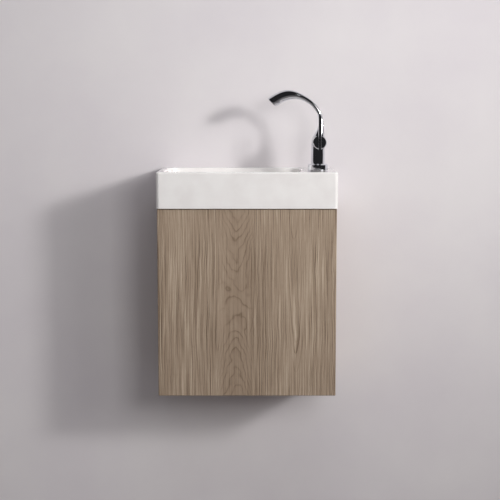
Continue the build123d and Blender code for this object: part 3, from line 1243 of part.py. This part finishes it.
# Push latch: a housing on the right panel, its sprung plunger, and the striker on the door
PLUNGER_FRONT = DOOR_BACK + STRIKER_THICKNESS + PLUNGER_TIP_GAP
LATCH_LINE = Plane(origin=(LATCH_X, LATCH_FRONT, LATCH_Z), x_dir=(-1, 0, 0), z_dir=(0, 1, 0))
PLUNGER_OUT = LATCH_FRONT - PLUNGER_FRONT
PLUNGER_BACK = PLUNGER_LENGTH - PLUNGER_OUT
LATCH_BORE_END = LATCH_LENGTH - LATCH_BASE_THICKNESS
with BuildPart() as latch_housing:
    mirrored_box(
        1,
        LATCH_X - LATCH_WIDTH / 2,
        PANEL_INNER,
        LATCH_FRONT,
        LATCH_FRONT + LATCH_LENGTH,
        LATCH_Z - LATCH_HEIGHT / 2,
        LATCH_Z + LATCH_HEIGHT / 2,
    )
    mirrored_box(
        1,
        PANEL_INNER - LATCH_BASE_THICKNESS,
        PANEL_INNER,
        LATCH_FRONT,
        LATCH_FRONT + LATCH_BASE_LENGTH,
        LATCH_Z - LATCH_BASE_HEIGHT / 2,
        LATCH_Z + LATCH_BASE_HEIGHT / 2,
    )
    bore(LATCH_LINE, 0, 0, 0, LATCH_BORE_END, PLUNGER_RADIUS + PLUNGER_CLEARANCE)
    for offset in (-1, 1):
        bore(
            facing(-1, -PANEL_INNER),
            -LATCH_SCREW_Y,
            LATCH_Z + offset * LATCH_SCREW_PITCH / 2,
            0,
            LATCH_BASE_THICKNESS,
            SCREW_SHANK_RADIUS,
        )
keep(latch_housing, "latch_housing")

with BuildPart() as latch_plunger:
    bore(LATCH_LINE, 0, 0, -PLUNGER_OUT, PLUNGER_BACK, PLUNGER_RADIUS, Mode.ADD)
    chamfer(latch_plunger.faces().sort_by(Axis.Y)[0].edges(), PLUNGER_RADIUS / 4)
    bore(LATCH_LINE, 0, 0, PLUNGER_BACK - PLUNGER_BORE_DEPTH, PLUNGER_BACK, PLUNGER_BORE_RADIUS)
keep(latch_plunger, "latch_plunger")

SPRING_START = PLUNGER_BACK - PLUNGER_BORE_DEPTH + SPRING_WIRE_RADIUS
SPRING_SPAN = LATCH_BORE_END - SPRING_WIRE_RADIUS - SPRING_START
with BuildPart() as latch_spring:
    spring_seat = LATCH_LINE.offset(SPRING_START)
    with BuildLine() as coil:
        Helix(
            SPRING_SPAN / SPRING_TURNS,
            SPRING_SPAN,
            SPRING_COIL_RADIUS,
            center=spring_seat.origin,
            direction=spring_seat.z_dir,
        )
    with BuildSketch(Plane(origin=coil.line @ 0, z_dir=coil.line % 0)) as wire:
        Circle(SPRING_WIRE_RADIUS)
    sweep(wire.sketch, path=coil.line, is_frenet=True)
keep(latch_spring, "latch_spring")

with BuildPart() as door_striker:
    with BuildSketch(DOOR_INSIDE):
        with Locations(on_door(LATCH_X, LATCH_Z)):
            RectangleRounded(STRIKER_WIDTH, STRIKER_HEIGHT, STRIKER_WIDTH / 5)
        for offset in (-1, 1):
            with Locations(on_door(LATCH_X, LATCH_Z + offset * STRIKER_SCREW_PITCH / 2)):
                Circle(SCREW_SHANK_RADIUS, mode=Mode.SUBTRACT)
    extrude(amount=STRIKER_THICKNESS)
keep(door_striker, "door_striker")

with BuildPart() as door_bumpers:
    for height in (DOOR_BOTTOM + BUMPER_INSET, DOOR_TOP - BUMPER_INSET):
        x, z = on_door(BUMPER_X, height)
        bore(DOOR_INSIDE, x, z, 0, DOOR_GAP - BUMPER_GAP, BUMPER_RADIUS, Mode.ADD)
keep(door_bumpers, "door_bumpers")
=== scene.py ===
"""Looks for the cloakroom vanity unit: camera, light, backdrop and a material for every piece."""

import json
import math

import bpy
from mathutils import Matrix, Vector

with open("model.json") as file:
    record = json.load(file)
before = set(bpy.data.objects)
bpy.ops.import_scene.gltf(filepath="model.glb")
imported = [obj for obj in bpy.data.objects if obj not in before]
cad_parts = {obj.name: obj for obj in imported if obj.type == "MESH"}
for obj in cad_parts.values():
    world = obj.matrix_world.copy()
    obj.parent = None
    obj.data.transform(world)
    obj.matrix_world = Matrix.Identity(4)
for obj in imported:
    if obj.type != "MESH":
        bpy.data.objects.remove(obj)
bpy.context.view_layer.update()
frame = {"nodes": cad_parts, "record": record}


# Speckled finishes: how much finer the gloss's grain is than the colour's
FINE_TO_BROAD = 14
# How far the darker chrome lies below its tint, in screen values
CHROME_DARKER = 10

# Veneer, in metres: the door's front face, how far the pattern moves sideways per metre of depth,
# and the nested arches' middle, half width and spacing
DOOR_FRONT = -0.216
DEPTH_SHIFT = 0.9
ARCH_MIDDLE = -0.024
ARCH_HALF_WIDTH = 0.0306
RING_PITCH = 0.031
# An arch rises by these two amounts, each times a power of the distance from the middle
ARCH_RISE = 0.052
ARCH_RISE_POWER = 1.3
ARCH_FLARE = 0.022
ARCH_FLARE_POWER = 3.0
# The arches turn over between these heights, so that they point both ways from the middle
TURN_LOW = -0.25
TURN_HIGH = -0.06
# Added to the ring count, which keeps it above zero where the arches are seen
RING_START = 40.0
# The shades through one ring: place and darkness
RING_SHADES = ((0.0, 0.45), (0.1, 0.12), (0.5, 0.0), (0.8, 0.35), (0.93, 1.0), (1.0, 0.45))

# Noise fields of the veneer: scale across and along the grain, detail, roughness, seed
SWAY = (5.0, 5.0, 2.0, 0.5, 3.1)
RIPPLE = (26.0, 24.0, 3.0, 0.55, 7.7)
WANDER = (24.0, 20.0, 2.0, 0.5, 1.3)
PATCHES = (30.0, 22.0, 2.0, 0.5, 9.2)
STREAKS = (400.0, 3.0, 3.0, 0.6, 11.0)
HAIRS = (900.0, 7.0, 2.0, 0.6, 17.0)
PORES = (1500.0, 60.0, 2.0, 0.5, 23.0)
CLOUDING = (16.0, 1.2, 3.0, 0.55, 5.9)
# Spans of a value: its low and high end, and where given the results there
PATCH_SPAN = (-0.12, 0.12, 0.45, 1.0)
ARCH_EDGE_SPAN = (0.8, 1.6, 1.0, 0.0)
QUIET_SPAN = (0.7, 1.5, 0.35, 1.0)
PORE_SPAN = (0.05, 0.22)
WOOD_ROUGHNESS_SPAN = (-0.2, 0.2, 0.58, 0.44)
# How much the streaks stand out beside the pores, the relief's depth in metres and its strength
STREAK_RELIEF = 0.6
WOOD_RELIEF = 0.00006
WOOD_RELIEF_STRENGTH = 0.7
# How far three of the noise fields bend the pattern, in metres
SWAY_REACH = 0.010
RIPPLE_REACH = 0.0035
WANDER_REACH = 0.10

# The veneer's plain tone, from 0 for the darkest wood to 1 for the lightest, and what changes it
TONE = 0.61
ARCH_TONE = -0.26
STREAK_TONE = 1.55
HAIR_TONE = 1.9
CLOUDING_TONE = 0.45
PORE_TONE = -0.15
# The colour of each tone, as screen values
WOOD_COLOURS = (
    (0.0, (86, 70, 57)),
    (0.28, (124, 106, 88)),
    (0.52, (155, 136, 117)),
    (0.78, (178, 160, 140)),
    (1.0, (198, 182, 162)),
)

# Long dark needles, open upwards: centre, tip height, half width, length, darkness
NEEDLES = (
    (0.107, -0.276, 0.0150, 0.200, 0.34),
    (0.107, -0.252, 0.0110, 0.110, 0.13),
    (0.109, -0.318, 0.0190, 0.150, 0.12),
    (0.103, -0.020, 0.0120, 0.080, 0.15),
    (-0.064, -0.270, 0.0100, 0.150, 0.12),
    (-0.148, -0.160, 0.0090, 0.180, 0.10),
)
NEEDLE_THICKNESS = 0.0013
NEEDLE_TIP_FADE = 0.003
# The share of its length over which a needle keeps its full darkness
NEEDLE_SOLID = 0.4

# Upright bands of lighter or darker wood: centre, half width, change of tone
BANDS = (
    (0.034, 0.026, -0.085),
    (0.104, 0.020, 0.045),
    (-0.150, 0.030, 0.035),
    (-0.090, 0.022, -0.03),
    (-0.190, 0.014, -0.05),
    (0.160, 0.022, -0.02),
)

# The key lamp is two lamps in one place, a small one and a wide one: name, side length, power
KEY_PARTS = (("key_core", 0.4, 6.3), ("key_wide", 1.3, 3.7))
KEY_PLACE = (2.45, -2.15, 1.02)
KEY_TARGET = (-0.15, 0.0, 0.34)
KEY_SPREAD = math.radians(64)
KEY_COLOUR = (1.0, 0.985, 0.97)
# Lamps that fill the shadows and that polished metal doesn't mirror: name, place, size, power, colour
FILL_LAMPS = (
    ("front", (0.85, -2.7, 0.7), (0.8, 0.8), 16.5, (1.0, 0.99, 0.985)),
    ("top", (0.1, -1.3, 2.0), (1.4, 1.2), 9.0, (0.97, 0.98, 1.0)),
)
FILL_TARGET = (0.0, -0.05, -0.05)

# The room's light from below and from above, and what polished metal sees of it
ROOM_COLOUR = (0.80, 0.78, 0.82, 1.0)
ROOM_BELOW = 0.205
ROOM_ABOVE = 0.285
ROOM_IN_METAL = 0.025
ROOM_BLEND_HEIGHT = 0.8

# The wall stands just behind the unit's back. The floor and the room's edges are out of the picture.
WALL_Y = 0.0006
FLOOR_Z = -1.05
HALF_ROOM = 4
WALL_TOP = 3
ROOM_DEPTH = 6
# The floor's light on the unit, as screen values, is kept apart from what the camera sees of it
FLOOR_BOUNCE = (160, 156, 154)

# The camera stands square to the wall, above the basin's level, and looks down by some degrees
CAMERA_PLACE = (0.0067, -2.880, 0.268)
CAMERA_DOWN = 6.67
CAMERA_LENS = 87.5
CAMERA_SENSOR = 36.0


class Nodes:
    """A material's node tree, with short ways to add and join nodes."""

    def __init__(self, name):
        self.material = bpy.data.materials.new(name)
        self.material.use_nodes = True
        self.tree = self.material.node_tree
        self.shader = self.tree.nodes["Principled BSDF"]
        self.output = self.tree.nodes["Material Output"]

    def add(self, kind, inputs=(), **settings):
        node = self.tree.nodes.new(kind)
        for key, value in settings.items():
            setattr(node, key, value)
        for key, value in dict(inputs).items():
            self.put(node.inputs[key], value)
        return node

    def put(self, socket, value):
        if isinstance(value, bpy.types.NodeSocket):
            self.tree.links.new(value, socket)
        else:
            socket.default_value = value

    def math(self, operation, a, b=None, c=None):
        node = self.tree.nodes.new("ShaderNodeMath")
        node.operation = operation
        for index, value in enumerate((a, b, c)):
            if value is not None:
                self.put(node.inputs[index], value)
        return node.outputs[0]

    def ramp(self, value, stops):
        node = self.tree.nodes.new("ShaderNodeValToRGB")
        ramp = node.color_ramp
        while len(ramp.elements) < len(stops):
            ramp.elements.new(1.0)
        for element, (place, colour) in zip(ramp.elements, stops):
            element.position = place
            element.color = (*colour, 1.0)
        self.put(node.inputs["Fac"], value)
        return node.outputs["Color"]

    def span(self, value, low, high, out_low=0.0, out_high=1.0):
        node = self.add("ShaderNodeMapRange", clamp=True)
        for key, number in zip(("Value", "From Min", "From Max", "To Min", "To Max"),
                               (value, low, high, out_low, out_high)):
            self.put(node.inputs[key], number)
        return node.outputs["Result"]

    def noise(self, place, scale, detail, roughness):
        node = self.add("ShaderNodeTexNoise", noise_dimensions="3D")
        for key, value in (("Vector", place), ("Scale", scale), ("Detail", detail), ("Roughness", roughness)):
            self.put(node.inputs[key], value)
        return node.outputs["Fac"]

    def place(self, scale=(1, 1, 1)):
        where = self.add("ShaderNodeTexCoord")
        mapping = self.add("ShaderNodeMapping", vector_type="POINT")
        self.put(mapping.inputs["Vector"], where.outputs["Object"])
        mapping.inputs["Scale"].default_value = scale
        return mapping.outputs["Vector"]

    def mix(self, factor, a, b):
        node = self.add("ShaderNodeMix", data_type="RGBA", blend_type="MIX")
        self.put(node.inputs["Factor"], factor)
        for socket, value in ((node.inputs[6], a), (node.inputs[7], b)):
            self.put(socket, value if isinstance(value, bpy.types.NodeSocket) else (*value, 1.0))
        return node.outputs[2]

    def bump(self, height, distance, strength=1.0):
        node = self.add("ShaderNodeBump")
        self.put(node.inputs["Height"], height)
        node.inputs["Distance"].default_value = distance
        node.inputs["Strength"].default_value = strength
        self.put(self.shader.inputs["Normal"], node.outputs["Normal"])

    def set(self, **values):
        for key, value in values.items():
            self.put(self.shader.inputs[key.replace("_", " ")], value)


def linear(*rgb):
    """A colour written as 0 to 255 screen values, as Blender's linear light."""
    return tuple((v / 255 / 12.92) if v < 10.3 else ((v / 255 + 0.055) / 1.055) ** 2.4 for v in rgb)


def speckled(name, dark, light, roughness, grain, relief, metallic=0.0, stretch=(1, 1, 1)):
    """A finish with slight mottling in its colour, gloss and surface."""
    m = Nodes(name)
    where = m.place(scale=stretch)
    fine = m.noise(where, scale=grain, detail=3.0, roughness=0.6)
    broad = m.noise(where, scale=grain / FINE_TO_BROAD, detail=2.0, roughness=0.5)
    m.set(Base_Color=m.mix(m.span(broad, 0.3, 0.7), linear(*dark), linear(*light)),
          Roughness=m.span(fine, 0.25, 0.75, *roughness), Metallic=metallic)
    m.bump(fine, relief)
    return m.material


def glaze():
    """Glossy white glaze over slightly uneven ceramic."""
    m = Nodes("white_glaze")
    where = m.place()
    broad = m.noise(where, scale=22.0, detail=3.0, roughness=0.5)
    fine = m.noise(where, scale=260.0, detail=2.0, roughness=0.5)
    m.set(Base_Color=m.mix(m.span(broad, 0.35, 0.65), linear(238, 235, 233), linear(244, 242, 240)),
          Roughness=m.span(fine, 0.3, 0.7, 0.10, 0.17))
    m.set(Specular_IOR_Level=0.5, Coat_Weight=0.35, Coat_Roughness=0.06)
    m.bump(broad, distance=0.00035, strength=0.35)
    return m.material


def chrome(name, tint=(226, 228, 233), roughness=(0.03, 0.07)):
    """Polished plating with faint wear in its gloss."""
    m = Nodes(name)
    where = m.place()
    fine = m.noise(where, scale=420.0, detail=3.0, roughness=0.6)
    broad = m.noise(where, scale=35.0, detail=2.0, roughness=0.5)
    darker = linear(*(v - CHROME_DARKER for v in tint))
    m.set(Base_Color=m.mix(m.span(broad, 0.3, 0.7), darker, linear(*tint)),
          Metallic=1.0, Roughness=m.span(fine, 0.3, 0.7, *roughness))
    m.bump(fine, distance=0.000004, strength=0.5)
    return m.material


def oak(name, sheet=(0.0, 0.0), contrast=1.0):
    """Greige veneer with upright grain: arches, long needles, bands, pinstripes and short dark pores.

    sheet moves the pattern sideways in metres and picks another noise, so that two sheets differ.
    """
    m = Nodes(name)
    where = m.add("ShaderNodeTexCoord").outputs["Object"]
    split = m.add("ShaderNodeSeparateXYZ", {"Vector": where})
    x, y, z = (split.outputs[axis] for axis in "XYZ")
    depth = m.math("SUBTRACT", y, DOOR_FRONT)
    across = m.math("MULTIPLY_ADD", depth, DEPTH_SHIFT, m.math("ADD", x, sheet[0]))

    def cloud(value, scale_x, scale_z, detail, roughness, seed):
        spot = m.add("ShaderNodeCombineXYZ")
        m.put(spot.inputs["X"], m.math("MULTIPLY", value, scale_x))
        m.put(spot.inputs["Y"], seed + sheet[1])
        m.put(spot.inputs["Z"], m.math("MULTIPLY", z, scale_z))
        return m.math("SUBTRACT", m.noise(spot.outputs[0], 1.0, detail, roughness), 0.5)

    def bell(value, half_width):
        squared = m.math("POWER", m.math("DIVIDE", value, half_width), 2.0)
        return m.math("EXPONENT", m.math("MULTIPLY", squared, -1.0))

    sway = m.math("MULTIPLY", cloud(across, *SWAY), SWAY_REACH)
    ripple = cloud(across, *RIPPLE)
    bent = m.math("ADD", across, m.math("MULTIPLY_ADD", ripple, RIPPLE_REACH, sway))

    from_middle = m.math("ABSOLUTE", m.math("SUBTRACT", bent, ARCH_MIDDLE))
    off_centre = m.math("DIVIDE", from_middle, ARCH_HALF_WIDTH)
    flare = m.math("POWER", off_centre, ARCH_FLARE_POWER)
    plain_rise = m.math("MULTIPLY", m.math("POWER", off_centre, ARCH_RISE_POWER), ARCH_RISE)
    rise = m.math("MULTIPLY_ADD", flare, ARCH_FLARE, plain_rise)
    turn = m.span(z, TURN_LOW, TURN_HIGH, -1.0, 1.0)
    wander = m.math("MULTIPLY_ADD", cloud(across, *WANDER), WANDER_REACH, z)
    rings = m.math("DIVIDE", m.math("SUBTRACT", wander, m.math("MULTIPLY", turn, rise)), RING_PITCH)
    wave = m.math("FRACT", m.math("ADD", rings, RING_START))
    late = m.ramp(wave, [(place, (shade,) * 3) for place, shade in RING_SHADES])
    patchy = m.span(cloud(across, *PATCHES), *PATCH_SPAN)
    arches = m.math("MULTIPLY", m.math("MULTIPLY", late, patchy), m.span(off_centre, *ARCH_EDGE_SPAN))

    tone = m.math("MULTIPLY_ADD", arches, ARCH_TONE * contrast, TONE)
    for centre, tip, width, length, dark in NEEDLES:
        open_by = m.math("MULTIPLY", m.math("SQRT", m.span(z, tip, tip + length)), width)
        aside = m.math("SUBTRACT", m.math("ABSOLUTE", m.math("SUBTRACT", bent, centre)), open_by)
        thin = bell(aside, NEEDLE_THICKNESS)
        line = m.math("MULTIPLY", thin, m.span(z, tip - NEEDLE_TIP_FADE, tip + NEEDLE_TIP_FADE))
        line = m.math("MULTIPLY", line, m.span(z, tip + NEEDLE_SOLID * length, tip + length, 1.0, 0.0))
        tone = m.math("MULTIPLY_ADD", line, -dark * contrast, tone)
    for centre, half_width, shade in BANDS:
        band = bell(m.math("SUBTRACT", bent, centre), half_width)
        tone = m.math("MULTIPLY_ADD", band, shade * contrast, tone)

    quiet = m.span(off_centre, *QUIET_SPAN)
    streaks = cloud(bent, *STREAKS)
    hairs = cloud(bent, *HAIRS)
    pores = m.span(cloud(bent, *PORES), *PORE_SPAN)
    broad = cloud(bent, *CLOUDING)
    tone = m.math("MULTIPLY_ADD", m.math("MULTIPLY", streaks, quiet), STREAK_TONE * contrast, tone)
    tone = m.math("MULTIPLY_ADD", m.math("MULTIPLY", hairs, quiet), HAIR_TONE * contrast, tone)
    tone = m.math("MULTIPLY_ADD", broad, CLOUDING_TONE * contrast, tone)
    tone = m.math("MULTIPLY_ADD", pores, PORE_TONE * contrast, tone)
    colour = m.ramp(tone, [(place, linear(*colour)) for place, colour in WOOD_COLOURS])
    m.set(Base_Color=colour, Roughness=m.span(streaks, *WOOD_ROUGHNESS_SPAN))
    m.set(Specular_IOR_Level=0.3)
    holes = m.math("MULTIPLY", pores, -1.0)
    m.bump(m.math("MULTIPLY_ADD", streaks, STREAK_RELIEF, holes), WOOD_RELIEF, WOOD_RELIEF_STRENGTH)
    return m.material


def brushed(name, dark, light, stretch=(1, 1, 12)):
    """Metal with fine lines, drawn out by stretch."""
    return speckled(
        name, dark, light,
        roughness=(0.28, 0.42), grain=1400.0, relief=0.000006, metallic=1.0, stretch=stretch,
    )


FINISHES = {
    "basin_ceramic": glaze(),
    "door_oak": oak("oak_door"),
    "carcass_oak": oak("oak_carcass", sheet=(0.31, 4.0), contrast=0.8),
    "tap_chrome": chrome("tap_chrome"),
    "waste_chrome": chrome("waste_chrome", (226, 227, 230), (0.05, 0.1)),
    "tap_brass": speckled(
        "turned_brass", (170, 132, 68), (196, 158, 92),
        roughness=(0.25, 0.38), grain=700.0, relief=0.000008, metallic=1.0,
    ),
    "trap_plastic": speckled(
        "trap_plastic", (222, 221, 217), (231, 230, 227),
        roughness=(0.24, 0.34), grain=500.0, relief=0.00001,
    ),
    "seal_rubber": speckled(
        "seal_rubber", (26, 26, 27), (40, 40, 41),
        roughness=(0.62, 0.8), grain=900.0, relief=0.00004,
    ),
    "fixing_steel": brushed("zinc_plated_steel", (168, 170, 172), (196, 198, 200)),
    "hinge_nickel": brushed("nickel_plate", (186, 184, 179), (206, 204, 199)),
    "screw_steel": brushed("screw_steel", (160, 160, 160), (190, 190, 191), (1, 1, 1)),
    "cam_zinc": speckled(
        "cast_zinc", (142, 145, 149), (168, 171, 175),
        roughness=(0.38, 0.52), grain=600.0, relief=0.00003, metallic=1.0,
    ),
    "dowel_beech": speckled(
        "beech", (190, 150, 104), (214, 178, 132),
        roughness=(0.55, 0.7), grain=800.0, relief=0.00004, stretch=(1, 1, 14),
    ),
    "hanger_plastic": speckled(
        "hanger_plastic", (222, 222, 218), (232, 232, 229),
        roughness=(0.42, 0.55), grain=800.0, relief=0.00003,
    ),
    "cartridge_plastic": speckled(
        "cartridge_plastic", (72, 78, 86), (84, 90, 99),
        roughness=(0.4, 0.5), grain=800.0, relief=0.00002,
    ),
    "carrier_plastic": speckled(
        "carrier_plastic", (210, 210, 205), (220, 220, 216),
        roughness=(0.38, 0.5), grain=800.0, relief=0.00002,
    ),
    "aerator_plastic": speckled(
        "aerator_plastic", (196, 199, 203), (210, 213, 217),
        roughness=(0.35, 0.45), grain=800.0, relief=0.00002,
    ),
    "latch_plastic": speckled(
        "latch_plastic", (134, 135, 138), (148, 149, 152),
        roughness=(0.45, 0.6), grain=800.0, relief=0.00004,
    ),
    "plunger_plastic": speckled(
        "plunger_plastic", (218, 218, 218), (228, 228, 228),
        roughness=(0.35, 0.45), grain=800.0, relief=0.00002,
    ),
    "bumper_rubber": speckled(
        "bumper_rubber", (196, 198, 199), (212, 214, 215),
        roughness=(0.35, 0.5), grain=800.0, relief=0.00002,
    ),
    "lever_cap_plastic": speckled(
        "lever_cap_plastic", (146, 149, 154), (160, 163, 168),
        roughness=(0.2, 0.3), grain=800.0, relief=0.00001,
    ),
}

for entry in frame["record"]["subparts"]:
    node = frame["nodes"][entry["node"]]
    finish = FINISHES[entry["material_slot"]]
    for slot in node.material_slots:
        slot.material = finish


def plane_mesh(name, corners):
    """A flat backdrop face through the corners."""
    mesh = bpy.data.meshes.new(name)
    mesh.from_pydata(corners, [], [tuple(range(len(corners)))])
    thing = bpy.data.objects.new(name, mesh)
    bpy.context.collection.objects.link(thing)
    return thing


def plaster(name, dark, light, one_sided):
    """Matt paint. One-sided paint is clear from behind; the other kind lights the unit as FLOOR_BOUNCE."""
    m = Nodes(name)
    where = m.place()
    broad = m.noise(where, scale=3.0, detail=4.0, roughness=0.55)
    fine = m.noise(where, scale=160.0, detail=4.0, roughness=0.65)
    paint = m.mix(m.span(broad, 0.35, 0.65), linear(*dark), linear(*light))
    if not one_sided:
        seen = m.add("ShaderNodeLightPath").outputs["Is Camera Ray"]
        paint = m.mix(seen, linear(*FLOOR_BOUNCE), paint)
    m.set(Base_Color=paint, Roughness=0.85)
    m.set(Specular_IOR_Level=0.2)
    m.bump(fine, distance=0.0004, strength=0.35)
    if one_sided:
        clear = m.add("ShaderNodeBsdfTransparent")
        facing = m.add("ShaderNodeNewGeometry")
        either = m.add("ShaderNodeMixShader")
        m.put(either.inputs[0], facing.outputs["Backfacing"])
        m.put(either.inputs[1], m.shader.outputs[0])
        m.put(either.inputs[2], clear.outputs[0])
        m.put(m.output.inputs["Surface"], either.outputs[0])
    return m.material


wall = plane_mesh("backdrop_wall", [
    (-HALF_ROOM, WALL_Y, FLOOR_Z),
    (HALF_ROOM, WALL_Y, FLOOR_Z),
    (HALF_ROOM, WALL_Y, WALL_TOP),
    (-HALF_ROOM, WALL_Y, WALL_TOP),
])
wall.data.materials.append(plaster("wall_plaster", (219, 214, 217), (225, 221, 222), True))
floor = plane_mesh("floor", [
    (-HALF_ROOM, -ROOM_DEPTH, FLOOR_Z),
    (HALF_ROOM, -ROOM_DEPTH, FLOOR_Z),
    (HALF_ROOM, WALL_Y, FLOOR_Z),
    (-HALF_ROOM, WALL_Y, FLOOR_Z),
])
floor.data.materials.append(plaster("floor_plaster", (206, 202, 200), (214, 210, 208), False))


def lamp(name, place, target, size, power, colour):
    """A rectangular lamp at place that shines at target."""
    light = bpy.data.lights.new(name, "AREA")
    light.shape = "RECTANGLE"
    light.size, light.size_y = size
    light.energy = power
    light.color = colour
    thing = bpy.data.objects.new(name, light)
    bpy.context.collection.objects.link(thing)
    thing.location = place
    thing.rotation_euler = (Vector(target) - Vector(place)).to_track_quat("-Z", "Y").to_euler()
    return thing


for name, size, power in KEY_PARTS:
    key = lamp(name, KEY_PLACE, KEY_TARGET, (size, size), power, KEY_COLOUR)
    key.data.spread = KEY_SPREAD
for name, place, size, power, colour in FILL_LAMPS:
    fill = lamp(name, place, FILL_TARGET, size, power, colour)
    fill.visible_glossy = False


def studio():
    """A soft even room that polished metal sees as a dark one."""
    world = bpy.data.worlds.new("studio")
    bpy.context.scene.world = world
    world.use_nodes = True
    tree = world.node_tree
    room = tree.nodes["Background"]
    room.inputs["Color"].default_value = ROOM_COLOUR
    where = tree.nodes.new("ShaderNodeTexCoord")
    split = tree.nodes.new("ShaderNodeSeparateXYZ")
    height = tree.nodes.new("ShaderNodeMapRange")
    height.inputs["From Min"].default_value = -ROOM_BLEND_HEIGHT
    height.inputs["From Max"].default_value = ROOM_BLEND_HEIGHT
    height.inputs["To Min"].default_value = ROOM_BELOW
    height.inputs["To Max"].default_value = ROOM_ABOVE
    path = tree.nodes.new("ShaderNodeLightPath")
    level = tree.nodes.new("ShaderNodeMapRange")
    level.inputs["To Max"].default_value = ROOM_IN_METAL
    tree.links.new(where.outputs["Generated"], split.inputs["Vector"])
    tree.links.new(split.outputs["Z"], height.inputs["Value"])
    tree.links.new(height.outputs["Result"], level.inputs["To Min"])
    tree.links.new(path.outputs["Is Glossy Ray"], level.inputs["Value"])
    tree.links.new(level.outputs["Result"], room.inputs["Strength"])


studio()

camera_data = bpy.data.cameras.new("camera")
camera_data.sensor_width = CAMERA_SENSOR
camera_data.lens = CAMERA_LENS
camera = bpy.data.objects.new("camera", camera_data)
bpy.context.collection.objects.link(camera)
camera.location = CAMERA_PLACE
camera.rotation_euler = (math.radians(90 - CAMERA_DOWN), 0.0, 0.0)
bpy.context.scene.camera = camera
bpy.context.scene.view_settings.view_transform = "Standard"
